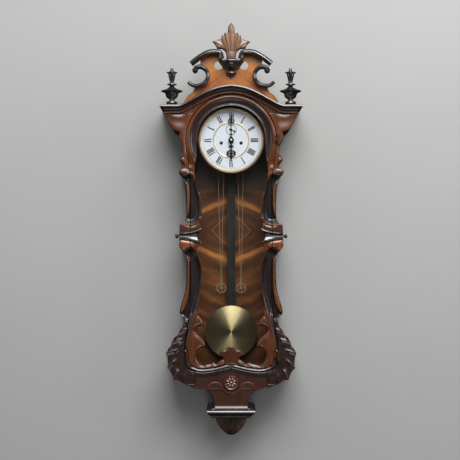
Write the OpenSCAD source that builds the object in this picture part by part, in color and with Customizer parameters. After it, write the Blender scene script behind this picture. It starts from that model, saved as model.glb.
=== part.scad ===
// Two-weight wall regulator in a serpentine walnut case: carved crest, arched head,
// glazed door, enamel dial, strike and time trains, wooden pendulum with a brass bob.
// The origin is the hole of the hanger plate on the wall plane, +Z is up, and the front
// faces -Y. Outlines are [x, z] points seen from the front, for the right half.

/* [Case] */
// Half width between the inner faces of the sides
inner_half = 118; // [117:0.25:119]
// Depth of the case sides from the wall to the door
case_depth = 136; // [136:0.5:142]
// Depth of the frame that stands in front of the sides, round the door
frame_depth = 18; // [17:0.5:20]
// Thickness of the backboard
backboard_t = 12; // [8:0.5:12]
// Gap between the back of the backboard and the wall
backboard_inset = 4; // [2:0.5:4]
// Front to back size of the crest mouldings
crest_mould_t = 26; // [20:1:34]
// Thickness of the crest board
crest_board_t = 14; // [10:0.5:18]
// Distance from the front of the frame back to the crest board
crest_inset = 44; // [34:1:50]
// Overhang of the cornice in front of the case frame
cornice_out = 30; // [24:1:36]
// Height of one finial
finial_h = 123; // [100:1:130]
// Distance of each finial from the centre line
finial_x = 191; // [188:0.5:194]
// Depth of the shelf under the neck
shelf_depth = 150; // [140:1:154]

/* [Door] */
// Outer radius of the arch of the door
arch_r = 144; // [143:0.25:144.5]
// Clearance between the door and the frame round it
door_gap = 2; // [1.8:0.1:2.4]
// Thickness of the door frame
door_t = 22; // [20:0.5:24]
// Thickness of the glass
glass_t = 3; // [2:0.25:4]
// Width of the rebate that holds the glass
glass_lap = 5; // [3:0.5:6]
// Radius of the hinge pins
hinge_pin_r = 1.6; // [1.2:0.1:2]
// Height of one hinge
hinge_h = 30; // [26:1:40]

/* [Dial and hands] */
// Radius of the enamel dial
dial_r = 96.5; // [94:0.5:98]
// Outer radius of the brass bezel
bezel_r = 107; // [105:0.5:108]
// Outer radius of the inner brass ring
dial_ring_r = 59; // [56:0.5:62]
// Width of the inner brass ring
dial_ring_w = 4; // [3:0.5:6]
// Length of the minute hand
minute_hand_l = 88; // [80:1:92]
// Length of the hour hand
hour_hand_l = 66; // [58:1:72]
// Length of the seconds hand
seconds_hand_l = 14; // [10:0.5:15]
// Radius of the winding holes
winding_hole_r = 4.5; // [4:0.25:5.5]

/* [Movement] */
// Half width of the movement plates
plate_half_w = 58; // [57:0.5:62]
// Thickness of each plate
plate_t = 2.5; // [2:0.1:3]
// Radius of the train arbors
arbor_r = 1.2; // [1:0.05:1.2]
// Running clearance of every arbor in its hole
run_gap = 0.05; // [0.03:0.01:0.08]
// Radius of each drum
drum_r = 12; // [11:0.25:12.5]
// Length of each drum between its flanges
drum_l = 24; // [20:0.5:25]
// Radius of the escape wheel
escape_r = 16.8; // [16:0.1:17]
// Distance of the anchor arbor above the escape arbor
anchor_rise = 24; // [23.5:0.1:25]
// Outer radius of the spiral gong
gong_r = 42; // [38:0.5:42.5]

/* [Pendulum and lines] */
// Distance from the suspension point to the middle of the bob
bob_drop = 684; // [672:1:688]
// Radius of the bob
bob_r = 86; // [80:0.5:88]
// Thickness of the bob
bob_t = 26; // [20:0.5:28]
// Width of the wooden rod
rod_w = 27; // [24:0.5:29]
// Thickness of the wooden rod
rod_t = 9; // [8:0.5:11]
// Outer radius of the pulley wheels
pulley_r = 16.6; // [14:0.2:18]
// Drop from the dial centre to the pulley centres
pulley_drop = 479; // [470:1:484]
// Radius of the gut lines
line_r = 0.7; // [0.5:0.1:0.9]

/* [Hidden] */
$fn = 48;

walnut = "#6b3a20";
orange_walnut = "#a86228";
ebony = "#2a2422";
brass = "#b59a4c";
steel = "#8d9096";

// Depths, as distances in front of the wall
board_front = backboard_inset + backboard_t;
frame_front = case_depth + frame_depth;
door_back = case_depth + 0.5;
glass_back = door_back + 4;
glass_front = glass_back + glass_t;
door_flat = glass_front + 5;
door_front = door_back + door_t;
hinge_knuckle_r = hinge_pin_r + 1.6;
hinge_y = max(door_front, frame_front) + hinge_knuckle_r + 0.3;
crest_back = frame_front - crest_inset;
back_plate_back = case_depth - 80;
rod_mid = board_front + 0.55 * (back_plate_back - board_front);
back_plate_front = back_plate_back + plate_t;
front_plate_back = back_plate_front + 46;
front_plate_front = front_plate_back + plate_t;
dial_back = front_plate_front + 10;
enamel_back = dial_back + 1.5;
dial_front = enamel_back + 2;

// What lies below the waist moves down as far as the bob hangs lower than drawn
bob_extra = bob_drop - 684;
follows_from = -600;
function low(z) = z < follows_from ? z - bob_extra : z;
function low_points(p) = [for (q = p) [q[0], low(q[1])]];

// Seams between the parts of each side, and other heights
dial_z = -142;
seam_shoulder = -243;
seam_waist_top = -413;
seam_waist_low = -490;
seam_skirt = low(-716);
seam_apron = low(-926);
floor_z = low(-900);
neck_foot = low(-1005);
rail_top = low(-860);
foot_top = low(-706);
cornice_end_z = -33;
cornice_h = 26;
seam_head = cornice_end_z - cornice_h;
hanger_hole_r = 5;
hanger_t = 3;
hanger_edge = [[0, 16], [16, 12], [22, 0], [16, -20], [0, -23]];
waist_z = -452;
hinge_x = 150;
hinge_zs = [dial_z, low(-835)];

// Right half of the silhouette, from the cornice down to the neck
head_edge = [[211, seam_head], [204, -80], [186, -111], [166, -119], [166, -141],
    [156, -163], [153, -186], [165, -208], [155, -219], [155, -232],
    [168, seam_shoulder]];
upper_edge = [[168, seam_shoulder], [166, -253], [153, -264], [147, -288], [144, -344],
    [146, -399], [165, seam_waist_top]];
waist_edge = [[165, seam_waist_top], [166, -441], [166, -465], [167, -482],
    [164, seam_waist_low]];
lower_edge = concat([[164, seam_waist_low]], low_points([[147, -509], [143, -524],
    [143, -571], [147, -626], [158, -664], [165, -692], [162, -704], [148, -716]]));
scallop_tips = low_points([[148, -716], [153, -733], [169, -764], [190, -792],
    [209, -828], [205, -875], [184, -912], [151, -926]]);
apron_edge = concat([[inner_half, floor_z], [inner_half, seam_apron]], low_points([
    [151, -926], [133, -931], [123, -938], [79, -945], [61, -963], [54, -987]]),
    [[54, neck_foot]]);

// Right half of the arched cornice, along its top edge
cornice_edge = [[0, 32], [34, 27], [65, 17], [92, 4], [114, -8], [136, -20],
    [154, -29], [168, cornice_end_z]];

// Right half of the opening in the door below the dial, then its foot round the tracery
opening_r = 109;
fish_tail = [80, 28];
opening_edge = low_points([[112, -200], [119, -248], [107, -307], [97, -331], [94, -392],
    [103, -410], [97, -430], [105, -440], [108, -452], [105, -464], [97, -474], [110, -498],
    [98, -532], [94, -571], [99, -620], [105, -660], [107, -682], [104, -707], [127, -750],
    [132, -800], [129, -845], [112, -866], [86, -872], [50, -868], [0, -857]]);

// Right half of the pierced part of the tracery
pierced_edge = low_points(concat(smooth([[102, -708], [95, -717], [91, -727], [89, -736]], 3),
    smooth([[101, -739], [112, -745], [117, -754], [112, -764], [102, -772], [92, -782],
    [85, -794], [82, -806]], 3), arc([80, -837], 31, 85, -70, 12),
    smooth([[80, -862], [66, -860], [57, -856], [48, -861], [40, -854], [30, -848]], 2),
    smooth([[26, -846], [28, -838], [39, -827], [30, -818], [16, -815]], 2),
    smooth([[16, -813], [10, -806], [0, -803]], 2)));

// A smooth curve through a list of points, with n steps between neighbours
function bend(a, b, c, d, t) = 0.5 * ((2 * b) + (c - a) * t
    + (2 * a - 5 * b + 4 * c - d) * t * t + (3 * b - a - 3 * c + d) * t * t * t);
function smooth(p, n = 4) = let (m = len(p) - 1) concat(
    [for (i = [0 : m - 1], k = [0 : n - 1])
        bend(p[max(i - 1, 0)], p[i], p[i + 1], p[min(i + 2, m)], k / n)], [p[m]]);
function flip(p) = [for (i = [len(p) - 1 : -1 : 0]) [-p[i][0], p[i][1]]];
// The right half and its mirror image, with shared points on the centre line once
function both(p) = let (f = flip(p), a = p[len(p) - 1][0] == 0 ? 1 : 0,
    b = p[0][0] == 0 ? 1 : 0) concat(p, [for (i = [a : len(f) - 1 - b]) f[i]]);
function reversed(p) = [for (i = [len(p) - 1 : -1 : 0]) p[i]];
function arc(c, r, a0, a1, n) = [for (i = [0 : n])
    c + r * [cos(a0 + (a1 - a0) * i / n), sin(a0 + (a1 - a0) * i / n)]];
function shift_z(p, d) = [for (q = p) [q[0], q[1] + d]];

// Points of a hollow between two tips, as deep as its sagitta
function hollow(a, b, sag, n = 5) = let (d = b - a, u = [-d[1], d[0]] / norm(d))
    [for (i = [0 : n - 1]) a + d * i / n + u * sag * 4 * (i / n) * (1 - i / n)];
scallop_edge = concat([for (i = [0 : len(scallop_tips) - 2])
    each hollow(scallop_tips[i], scallop_tips[i + 1], i == 0 ? -1 : -4)],
    [scallop_tips[len(scallop_tips) - 1]]);

// Right half of the door's outline, g outside the door itself
function door_half(g) = concat(
    arc([0, dial_z], arch_r + g, 90, 0, 15),
    smooth(low_points([[arch_r + g - 0.2, dial_z - 12], [141 + g, -190], [133 + g, -235],
        [130 + g, -262], [130 + g, -400], [130 + g, -500], [130 + g, -660],
        [134 + g, -705], [141 + g, -750], [147 + g, -796], [148 + g, -824],
        [144 + g, -859], [131 + g, -876 - g], [110 + g, -884 - g], [86, -886 - g],
        [51, -881 - g], [0, -869 - g]]), 3));
// Right half of the glazed opening, e outside it
function opening_half(e) = concat(arc([0, dial_z], opening_r + e, 90, 0, 12),
    [for (q = smooth(opening_edge, 3)) [q[0] == 0 ? 0 : q[0] + e,
        q[1] - (q[1] < low(-850) ? e : 0)]]);

// Points on a spiral, a ribbon of a given width along a path, and a ring of teeth
function norms(p) = [for (i = [0 : len(p) - 1]) let (d = p[min(i + 1, len(p) - 1)]
    - p[max(i - 1, 0)]) [-d[1], d[0]] / norm(d)];
function ribbon(p, w0, w1) = let (n = norms(p), m = len(p) - 1) concat(
    [for (i = [0 : m]) p[i] + n[i] * (w0 + (w1 - w0) * i / m) / 2],
    [for (i = [m : -1 : 0]) p[i] - n[i] * (w0 + (w1 - w0) * i / m) / 2]);
function teeth(count, mod, phase) = let (r = count * mod / 2, step = 360 / count)
    [for (i = [0 : count - 1], k = [[-0.3, -1.1], [-0.11, 0.75], [0.11, 0.75], [0.3, -1.1]])
        let (a = phase + (i + k[0]) * step) (r + k[1] * mod) * [cos(a), sin(a)]];
function window(r0, r1, a0, a1, n = 5) = concat(arc([0, 0], r1, a0, a1, n),
    arc([0, 0], r0, a1, a0, n));

module slab(y0, y1) {
    translate([0, -y0, 0]) rotate([90, 0, 0]) linear_extrude(height = y1 - y0) children();
}
module pin_y(p, y0, y1, r) {
    translate([p[0], -y0, p[1]]) rotate([90, 0, 0]) cylinder(h = y1 - y0, r = r);
}
module at(p) {
    translate([p[0], 0, p[1]]) children();
}
module sides() {
    children();
    mirror([1, 0, 0]) children();
}
module turned_z(p, profile) {
    translate(p) rotate_extrude() polygon(profile);
}

// One part of a side: the wall behind, and the frame in front, round the door
module side_block(edge, z_top, z_low) {
    slab(0, case_depth) polygon(concat([[inner_half, z_low], [inner_half, z_top]], edge));
    slab(case_depth, frame_front) difference() {
        polygon(concat([[inner_half, z_low], [inner_half, z_top]], edge));
        polygon(both(door_half(door_gap)));
    }
}

module backboard() {
    color(walnut) slab(backboard_inset, board_front) polygon(both([[0, -30], [60, -50],
        [inner_half, -100], [inner_half, floor_z], [0, floor_z]]));
}

// Space for the hanger plate and for the wall hook behind it
module hanger_pocket() {
    slab(-1, hanger_t) polygon(both(hanger_edge));
    pin_y([0, 0], -1, 26, hanger_hole_r + 6);
}

module head_top() {
    outline = both(shift_z(smooth(cornice_edge), -cornice_h));
    color(walnut) difference() {
        slab(0, case_depth) difference() {
            polygon(outline);
            translate([0, dial_z]) circle(r = inner_half);
        }
        hanger_pocket();
    }
    color(walnut) {
        slab(case_depth, frame_front) difference() {
            polygon(outline);
            polygon(both(door_half(door_gap)));
        }
    }
}
module head_cheeks() {
    color(walnut) sides() side_block(smooth(head_edge, 3), seam_head, seam_shoulder);
}
module upper_sides() {
    color(walnut) sides() side_block(smooth(upper_edge, 3), seam_shoulder, seam_waist_top);
}
module waist_blocks() {
    color(walnut) sides() side_block(waist_edge, seam_waist_top, seam_waist_low);
}
module lower_sides() {
    color(walnut) sides() side_block(smooth(lower_edge, 3), seam_waist_low, seam_skirt);
}
module skirts() {
    color(ebony) sides() side_block(scallop_edge, seam_skirt, seam_apron);
}

// The bottom rail between the skirts, the floor of the case and the neck in one block
module apron() {
    color(walnut) {
        slab(0, case_depth) polygon(both(concat([[0, floor_z]], apron_edge)));
        slab(case_depth, frame_front) difference() {
            polygon(both(concat([[0, rail_top], [inner_half, rail_top]], apron_edge)));
            polygon(both(door_half(door_gap)));
        }
    }
}

module rosette() {
    c = [0, low(-921)];
    color("#a08068") {
        pin_y(c, frame_front, frame_front + 3, 23);
        for (a = [0 : 45 : 315])
            pin_y(c + 12 * [cos(a), sin(a)], frame_front + 3, frame_front + 6, 4.2);
        pin_y(c, frame_front + 3, frame_front + 7, 5.5);
        translate([c[0], -frame_front - 3, c[1]]) rotate([90, 0, 0])
            rotate_extrude() translate([20, 0]) circle(r = 2.4);
    }
}

module base_shelf() {
    color(ebony) {
        translate([-79, -shelf_depth - 14, neck_foot - 18]) cube([158, shelf_depth + 14, 18]);
        translate([-64, -shelf_depth, neck_foot - 29]) cube([128, shelf_depth, 11]);
    }
}

// The carved bud below the shelf, its back cut flat against the wall
module drop_bud() {
    top = neck_foot - 29;
    color("#4a2a22") intersection() {
        turned_z([0, -62, 0], concat([[0, top]], smooth([[55, top], [53, top - 14],
            [46, top - 32], [35, top - 49], [19, top - 64], [0, top - 71]])));
        translate([-60, -124, top - 75]) cube([120, 124, 85]);
    }
}

// One band of the cornice, between two offsets from its top edge
module cornice_band(low, top, out, half_w) {
    edge = concat(smooth(cornice_edge), [[half_w, cornice_end_z]]);
    slab(0, frame_front + out)
        polygon(both(concat(shift_z(edge, top), reversed(shift_z(edge, low)))));
}
module cornice_fillet() {
    color(orange_walnut) difference() {
        cornice_band(-cornice_h, -19, 6, 213);
        hanger_pocket();
    }
}
module cornice_hollow() {
    color(ebony) difference() {
        union() {
            cornice_band(-19, -13, 12, 218);
            cornice_band(-13, -6, 20, 223);
            cornice_band(-6, 0, cornice_out, 228);
        }
        hanger_pocket();
    }
}

// The crest board with its two round holes
module crest_board() {
    color(orange_walnut) slab(crest_back, crest_back + crest_board_t) difference() {
        polygon(both(concat([[0, 112], [24, 112]], smooth([[31, 122], [37, 136], [50, 140],
            [72, 138], [100, 122]]), arc([107, 64], 29, 105, 255, 10),
            smooth([[117, 29], [124, 13], [139, 2], [150, -14], [157, -28]]),
            reversed(smooth(cornice_edge)))));
        for (s = [-1, 1]) translate([40 * s, 100]) circle(r = 15);
    }
}
// Swan-neck mouldings over the crest board, and the scrolls in its hollows
module crest_mouldings() {
    swan = smooth([[129, 103], [101, 124], [72, 139], [50, 141], [36, 137], [30, 120]], 4);
    scroll = smooth([[138, 44], [126, 35], [112, 32], [92, 37], [78, 51], [75, 69],
        [83, 85], [99, 93], [112, 90], [118, 80]], 4);
    y0 = crest_back + crest_board_t;
    color(ebony) sides() {
        slab(y0, y0 + crest_mould_t) polygon(ribbon(swan, 15, 16));
        slab(y0, y0 + crest_mould_t) polygon(ribbon(scroll, 10, 14));
        pin_y([116, 82], y0, y0 + crest_mould_t, 9);
    }
}
// The turned bowl that carries the leaf, and the drop under it
module crest_bracket() {
    y = -crest_back - crest_board_t;
    color(ebony) intersection() {
        union() {
            turned_z([0, y, 0], concat([[0, 78]], smooth([[4, 78], [10, 84], [24, 88],
                [32, 98], [37, 106]], 3), [[41, 108], [41, 113], [0, 113]]));
            turned_z([0, y, 0], [[0, 54], [3, 56], [8, 66], [18, 73], [18, 76], [0, 76]]);
        }
        translate([-50, y - 60, 40]) cube([100, 60, 90]);
    }
}
// The palmette: a pointed top leaf, two toothed shoulders and two wide side lobes
module crest_leaf() {
    half = concat([[0, 113], [15, 113]], smooth([[15, 118], [18, 141], [30, 151]], 3),
        smooth([[46, 152], [50, 162], [60, 174]], 3), smooth([[44, 178], [31, 184]], 2),
        [[31, 193], [24, 192], [22, 200], [18.5, 202], [12, 198]],
        smooth([[10, 205], [11, 215], [7, 225], [0, 234]], 3));
    y0 = crest_back + crest_board_t;
    color("#8a5a3c") {
        slab(y0 + 2, y0 + 16) polygon(both(half));
        slab(y0 + 16, y0 + 22) polygon(both(concat([[0, 113], [13, 113]],
            smooth([[13, 118], [15, 138], [24, 160], [14, 180], [6, 205], [0, 215]], 3))));
    }
}

module finials() {
    base = cornice_end_z;
    k = finial_h / 123;
    profile = [[0, 0], [20.5, 0], [21, 4], [17, 6], [18.5, 10], [17, 13.5], [8, 18],
        [8, 21], [16.5, 27], [20, 35], [22, 41], [34, 46.5], [34.5, 49], [24, 52],
        [13, 57.5], [7, 64], [16, 68.5], [15.5, 71], [6, 73.5], [5.2, 77], [8.2, 92],
        [9.2, 102], [17.6, 107], [17.4, 109], [7, 112], [4, 117], [5.2, 119.4], [4.4, 122],
        [0, 123]];
    color(ebony) sides() turned_z([finial_x, -frame_front + 24, base],
        [for (q = profile) [q[0], q[1] * k]]);
}

// The iron plate let into the back of the head, with the hole for the wall hook
module hanger_plate() {
    color(steel) difference() {
        slab(0, hanger_t) polygon(both(hanger_edge));
        pin_y([0, 0], -1, hanger_t + 1, hanger_hole_r);
    }
}

// Hinges. Each has three knuckles: the outer two and the pin belong to the case
module knuckle(z0, z1, bore) {
    translate([hinge_x, -hinge_y, z0]) difference() {
        cylinder(h = z1 - z0, r = hinge_knuckle_r);
        translate([0, 0, -1]) cylinder(h = z1 - z0 + 2, r = bore);
    }
}
module case_hinges() {
    third = hinge_h / 3;
    leaf_front = frame_front + 1.6;
    color(brass) for (zc = hinge_zs) {
        z0 = zc - hinge_h / 2;
        for (k = [0, 2]) {
            knuckle(z0 + k * third, z0 + (k + 1) * third, hinge_pin_r);
            translate([hinge_x, -hinge_y, z0 + k * third])
                cube([hinge_knuckle_r + 3, hinge_y - frame_front, third]);
        }
        translate([hinge_x, -hinge_y, z0]) cylinder(h = hinge_h, r = hinge_pin_r);
        translate([hinge_x + hinge_knuckle_r, -leaf_front, z0])
            cube([5, leaf_front - frame_front, hinge_h]);
    }
}
module door_hinges() {
    third = hinge_h / 3;
    color(brass) for (zc = hinge_zs) {
        z0 = zc - third / 2 + 0.2;
        knuckle(z0, z0 + third - 0.4, hinge_pin_r + run_gap);
        difference() {
            translate([hinge_x - 14, -door_front - 1.6, z0]) cube([14, 1.6, third - 0.4]);
            translate([hinge_x, -hinge_y, z0 - 1]) cylinder(h = third + 2, r = hinge_pin_r + 0.5);
        }
    }
}

// Door: a rebated frame, a raised moulding round its edge, glass and tracery
module door_frame() {
    color(walnut) {
        slab(door_back, glass_front) difference() {
            polygon(both(door_half(0)));
            polygon(both(opening_half(glass_lap + 0.3)));
        }
        slab(glass_front, door_flat) difference() {
            polygon(both(door_half(0)));
            polygon(both(opening_half(0)));
        }
    }
}
module door_glass() {
    color("#c8d8d8", 0.3) slab(glass_back, glass_front) polygon(both(opening_half(glass_lap)));
}
module door_moulding() {
    color(walnut) {
        slab(door_flat, door_front) difference() {
            polygon(both(door_half(0)));
            polygon(both(door_half(-10)));
            translate([-200, waist_z - 17]) square([400, 34]);
        }
        slab(door_flat, door_flat + 5) difference() {
            translate([0, dial_z]) circle(r = opening_r + 8);
            translate([0, dial_z]) circle(r = opening_r);
            translate([-200, dial_z - 240]) square([400, 200]);
        }
    }
}
module door_tracery() {
    foot = [for (q = opening_half(0)) if (q[1] < foot_top) q];
    color(walnut) slab(glass_front, door_flat + 3) difference() {
        polygon(both(concat([[0, foot[0][1]]], foot)));
        polygon(both(concat([[0, foot_top + 16], [116, foot_top + 16]], pierced_edge)));
    }
}
// The ebonised hollow at the waist, between two ridges that part towards the glass
ridge_front = door_front + 1.5;
ridge_w = 3.5;
function ridge_half(x) = 10.5 + 12 * pow((166 - x) / 71, 2.2);
function hollow_r(x) = norm([ridge_half(x) - ridge_w, 12]);
module waist_hollow(x0, x1, flat) {
    steps = [for (i = [0 : 6]) x0 + (x1 - x0) * i / 6];
    color(ebony) sides() difference() {
        slab(flat, ridge_front) polygon(concat(
            [for (x = steps) [x, waist_z + ridge_half(x)]],
            [for (x = reversed(steps)) [x, waist_z - ridge_half(x)]]));
        translate([0, -ridge_front - 12, waist_z]) rotate([0, 90, 0]) rotate_extrude()
            polygon(concat([[0, x0 - 1], [hollow_r(x0), x0 - 1]],
                [for (x = steps) [hollow_r(x), x]], [[hollow_r(x1), x1 + 1], [0, x1 + 1]]));
        pin_y([fish_tail[0], waist_z], flat - 1, ridge_front + 1, fish_tail[1]);
    }
}
module door_turnings() {
    waist_hollow(95, 129.5, door_flat);
}
module waist_turnings() {
    waist_hollow(132, 166, frame_front);
    color(ebony) sides() translate([166, -frame_front + 12, waist_z]) rotate([0, 90, 0])
        rotate_extrude() polygon([[0, 0], [4, 0], [3, 3], [6, 6], [7, 9], [6, 12], [3, 14],
            [0, 14.5]]);
}

// Positions in the movement, as [x, z]. Pitch circles touch where wheels mesh
dial_c = [0, dial_z];
great_mod = 0.639;
centre_mod = 0.6;
third_mod = 0.5;
strike_mod = 0.55;
motion_mod = 0.576;
great_n = 96;
pinion_n = 8;
centre_n = 80;
third_n = 75;
escape_pinion_n = 10;
escape_n = 30;
pin_wheel_n = 72;
fly_pinion_n = 12;
winding_drop = 9;
winding_off = sqrt(pow((great_n + pinion_n) * great_mod / 2, 2) - winding_drop * winding_drop);
time_c = dial_c + [winding_off, -winding_drop];
strike_c = dial_c + [-winding_off, -winding_drop];
escape_rise = 34;
escape_c = dial_c + [0, escape_rise];
centre_to_third = (centre_n + pinion_n) * centre_mod / 2;
third_to_escape = (third_n + escape_pinion_n) * third_mod / 2;
third_rise = (centre_to_third * centre_to_third - third_to_escape * third_to_escape
    + escape_rise * escape_rise) / (2 * escape_rise);
third_c = dial_c + [sqrt(centre_to_third * centre_to_third - third_rise * third_rise), third_rise];
anchor_c = escape_c + [0, anchor_rise];
pin_wheel_a = 93.5;
pin_wheel_c = strike_c + (great_n + pinion_n) * great_mod / 2 * [cos(pin_wheel_a), sin(pin_wheel_a)];
fly_a = 60;
fly_c = pin_wheel_c + (pin_wheel_n + fly_pinion_n) * strike_mod / 2 * [cos(fly_a), sin(fly_a)];
motion_a = -45;
cannon_n = 12;
minute_n = 36;
minute_pinion_n = 10;
hour_n = 40;
minute_c = dial_c + (cannon_n + minute_n) * motion_mod / 2 * [cos(motion_a), sin(motion_a)];
hour_mod = 2 * (cannon_n + minute_n) * motion_mod / 2 / (minute_pinion_n + hour_n);
hammer_c = dial_c + [-53, 5];
drum_arbor_r = 3;
line_posts = [time_c + [8, -21], strike_c + [8, -21]];
stud_r = 1.5;
pipe_r = 2.2;
function bearing(p, q) = atan2(q[1] - p[1], q[0] - p[0]);

// A flat toothed wheel with crossings, round an arbor of the given radius
module wheel(c, y0, y1, count, mod, phase, bore, crossings = true) {
    r = count * mod / 2 - 2.4 * mod;
    at(c) slab(y0, y1) difference() {
        polygon(teeth(count, mod, phase));
        circle(r = bore + 0.2, $fn = 12);
        if (crossings) for (k = [0 : 4])
            polygon(window(r * 0.34, r * 0.86, k * 72 + 9, k * 72 + 63));
    }
}
module pinion(c, y0, y1, count, mod, phase, bore) {
    wheel(c, y0, y1, count, mod, phase, bore, false);
}
module arbor(c, y0 = back_plate_back + 0.5, y1 = front_plate_front - 0.5, r = arbor_r) {
    pin_y(c, y0, y1, r);
}

// Levels of the wheels between the plates
great_y = front_plate_back - 8.5;
strike_great_y = great_y + 4.5;
centre_y = back_plate_front + 1.5;
pin_wheel_y = back_plate_front + 4.7;
escape_y = back_plate_front + 9.5;
third_y = front_plate_back - 3.5;
motion_y = front_plate_front + 1;
drum_y = great_y - 3 - drum_l - 4;

module plate_holes(y0, y1) {
    for (c = [dial_c, third_c, escape_c, anchor_c, pin_wheel_c, fly_c])
        pin_y(c, y0, y1, arbor_r + run_gap);
    for (c = [time_c, strike_c]) pin_y(c, y0, y1, drum_arbor_r + run_gap);
}
plate_edge = [[-plate_half_w, dial_z - 48], [plate_half_w, dial_z - 48],
    [plate_half_w, dial_z + 62], [plate_half_w - 12, dial_z + 72],
    [-plate_half_w + 12, dial_z + 72], [-plate_half_w, dial_z + 62]];
pillars = [for (x = [-1, 1], z = [-42, 62]) [x * (plate_half_w - (z > 0 ? 14 : 6)), dial_z + z]];
module back_plate() {
    color(brass) {
        difference() {
            slab(back_plate_back, back_plate_front) polygon(plate_edge);
            plate_holes(back_plate_back - 1, back_plate_front + 1);
            pin_y(hammer_c, back_plate_back - 1, back_plate_front + 1, arbor_r + run_gap);
        }
        for (p = pillars) pin_y(p, back_plate_front, front_plate_back, 4);
        for (p = line_posts) pin_y(p, back_plate_front, drum_y + drum_l, 2);
    }
}
module front_plate() {
    color(brass) {
        difference() {
            slab(front_plate_back, front_plate_front) polygon(plate_edge);
            plate_holes(front_plate_back - 1, front_plate_front + 1);
        }
        for (p = pillars) pin_y(p, front_plate_front, front_plate_front + 2.5, 3.2);
        pin_y(minute_c, front_plate_front, motion_y + 7, stud_r);
    }
}

// The iron bracket on the backboard, its two arms, and the cock that holds the pendulum
cock_top = anchor_c[1] + 8;
module movement_bracket() {
    color("#3a3a3a") {
        slab(board_front, board_front + 4)
            polygon(both([[0, cock_top], [50, cock_top - 6], [54, cock_top - 32], [0, cock_top - 32]]));
        for (s = [-1, 1]) translate([s * 48 - 4, -back_plate_back, cock_top - 28])
            cube([8, back_plate_back - board_front, 10]);
        difference() {
            translate([-8, -rod_mid - 7, cock_top - 10]) cube([16, rod_mid + 7 - board_front, 10]);
            translate([-1.2, -rod_mid - 8, cock_top - 11]) cube([2.4, 15, 12]);
        }
    }
}

module dial_plate() {
    color(brass) {
        difference() {
            pin_y(dial_c, dial_back, enamel_back, bezel_r - 3);
            dial_holes(dial_back - 1, enamel_back + 1);
        }
        for (x = [-48, 48], z = [46, -38])
            pin_y(dial_c + [x, z], front_plate_front, dial_back, 2.5);
    }
}
module dial_holes(y0, y1) {
    pin_y(dial_c, y0, y1, 4.4);
    pin_y(escape_c, y0, y1, 2.4);
    for (c = [time_c, strike_c]) pin_y(c, y0, y1, winding_hole_r);
}
module dial_enamel() {
    color("white") difference() {
        union() {
            difference() {
                pin_y(dial_c, enamel_back, dial_front, dial_r);
                pin_y(dial_c, enamel_back - 1, dial_front + 1, dial_ring_r);
            }
            pin_y(dial_c, enamel_back, dial_front - 0.5, dial_ring_r - dial_ring_w);
        }
        dial_holes(enamel_back - 1, dial_front + 1);
    }
}
module dial_rings() {
    color(brass) translate([0, -enamel_back, dial_z]) rotate([90, 0, 0]) {
        rotate_extrude() polygon([[dial_ring_r - dial_ring_w, 0], [dial_ring_r, 0],
            [dial_ring_r, 2.4], [dial_ring_r - 1, 3], [dial_ring_r - dial_ring_w + 1, 3],
            [dial_ring_r - dial_ring_w, 2.4]]);
        rotate_extrude() polygon([[dial_r, 0], [bezel_r - 3, 0], [bezel_r - 3, -2], [bezel_r, -2],
            [bezel_r, 4], [bezel_r - 2, 8], [bezel_r - 5, 9], [dial_r + 2, 5], [dial_r, 2.6]]);
    }
}

// The flat spiral gong and the block that its outer end is screwed to
gong_c = [0, -190];
gong_turns = 3;
module gong() {
    spiral = [for (a = [20 : 15 : 20 + 360 * gong_turns])
        (gong_r - (a - 20) / (360 * gong_turns) * (gong_r - 12)) * [cos(a), sin(a)]];
    block = gong_c + gong_r * [cos(20), sin(20)];
    color("#3a4048") at(gong_c) slab(board_front + 4, board_front + 7)
        polygon(ribbon(spiral, 3, 3));
    color(brass) translate([block[0] - 5, -board_front - 10, block[1] - 7]) cube([12, 10, 12]);
}

// A gut line, swept from its drum down through the eye of the pulley and up to its post
line_y = drum_y + drum_l - 8;
eye_rise = pulley_r + 5.4;
eye_ring_r = 2.6;
eye_wire_r = 0.8;
function eye_of(c) = [c[0], dial_z - pulley_drop + eye_rise];
function line_route(from, eye, to) = concat([from], arc(eye + [0, eye_ring_r],
    eye_wire_r + line_r + 0.15, 180, 360, 6), [to]);
module tube(path, r, n = 8) {
    side = norms(path);
    m = len(path);
    points = [for (i = [0 : m - 1], k = [0 : n - 1]) let (o = r * cos(k * 360 / n))
        [path[i][0] + side[i][0] * o, -line_y + r * sin(k * 360 / n), path[i][1] + side[i][1] * o]];
    faces = concat([[for (k = [0 : n - 1]) k]], [[for (k = [n - 1 : -1 : 0]) (m - 1) * n + k]],
        [for (i = [0 : m - 2], k = [0 : n - 1]) let (b = i * n, j = (k + 1) % n)
            each [[b + k, b + n + k, b + n + j], [b + k, b + n + j, b + j]]]);
    polyhedron(points, faces);
}
module gut_line(c, post) {
    color("#b8a888") tube(line_route(c - [drum_r + line_r + 0.1, 0], eye_of(c),
        post - [0, 2 + 0.4]), line_r);
}
module time_line() { gut_line(time_c, line_posts[0]); }
module strike_line() { gut_line(strike_c, line_posts[1]); }

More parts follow.
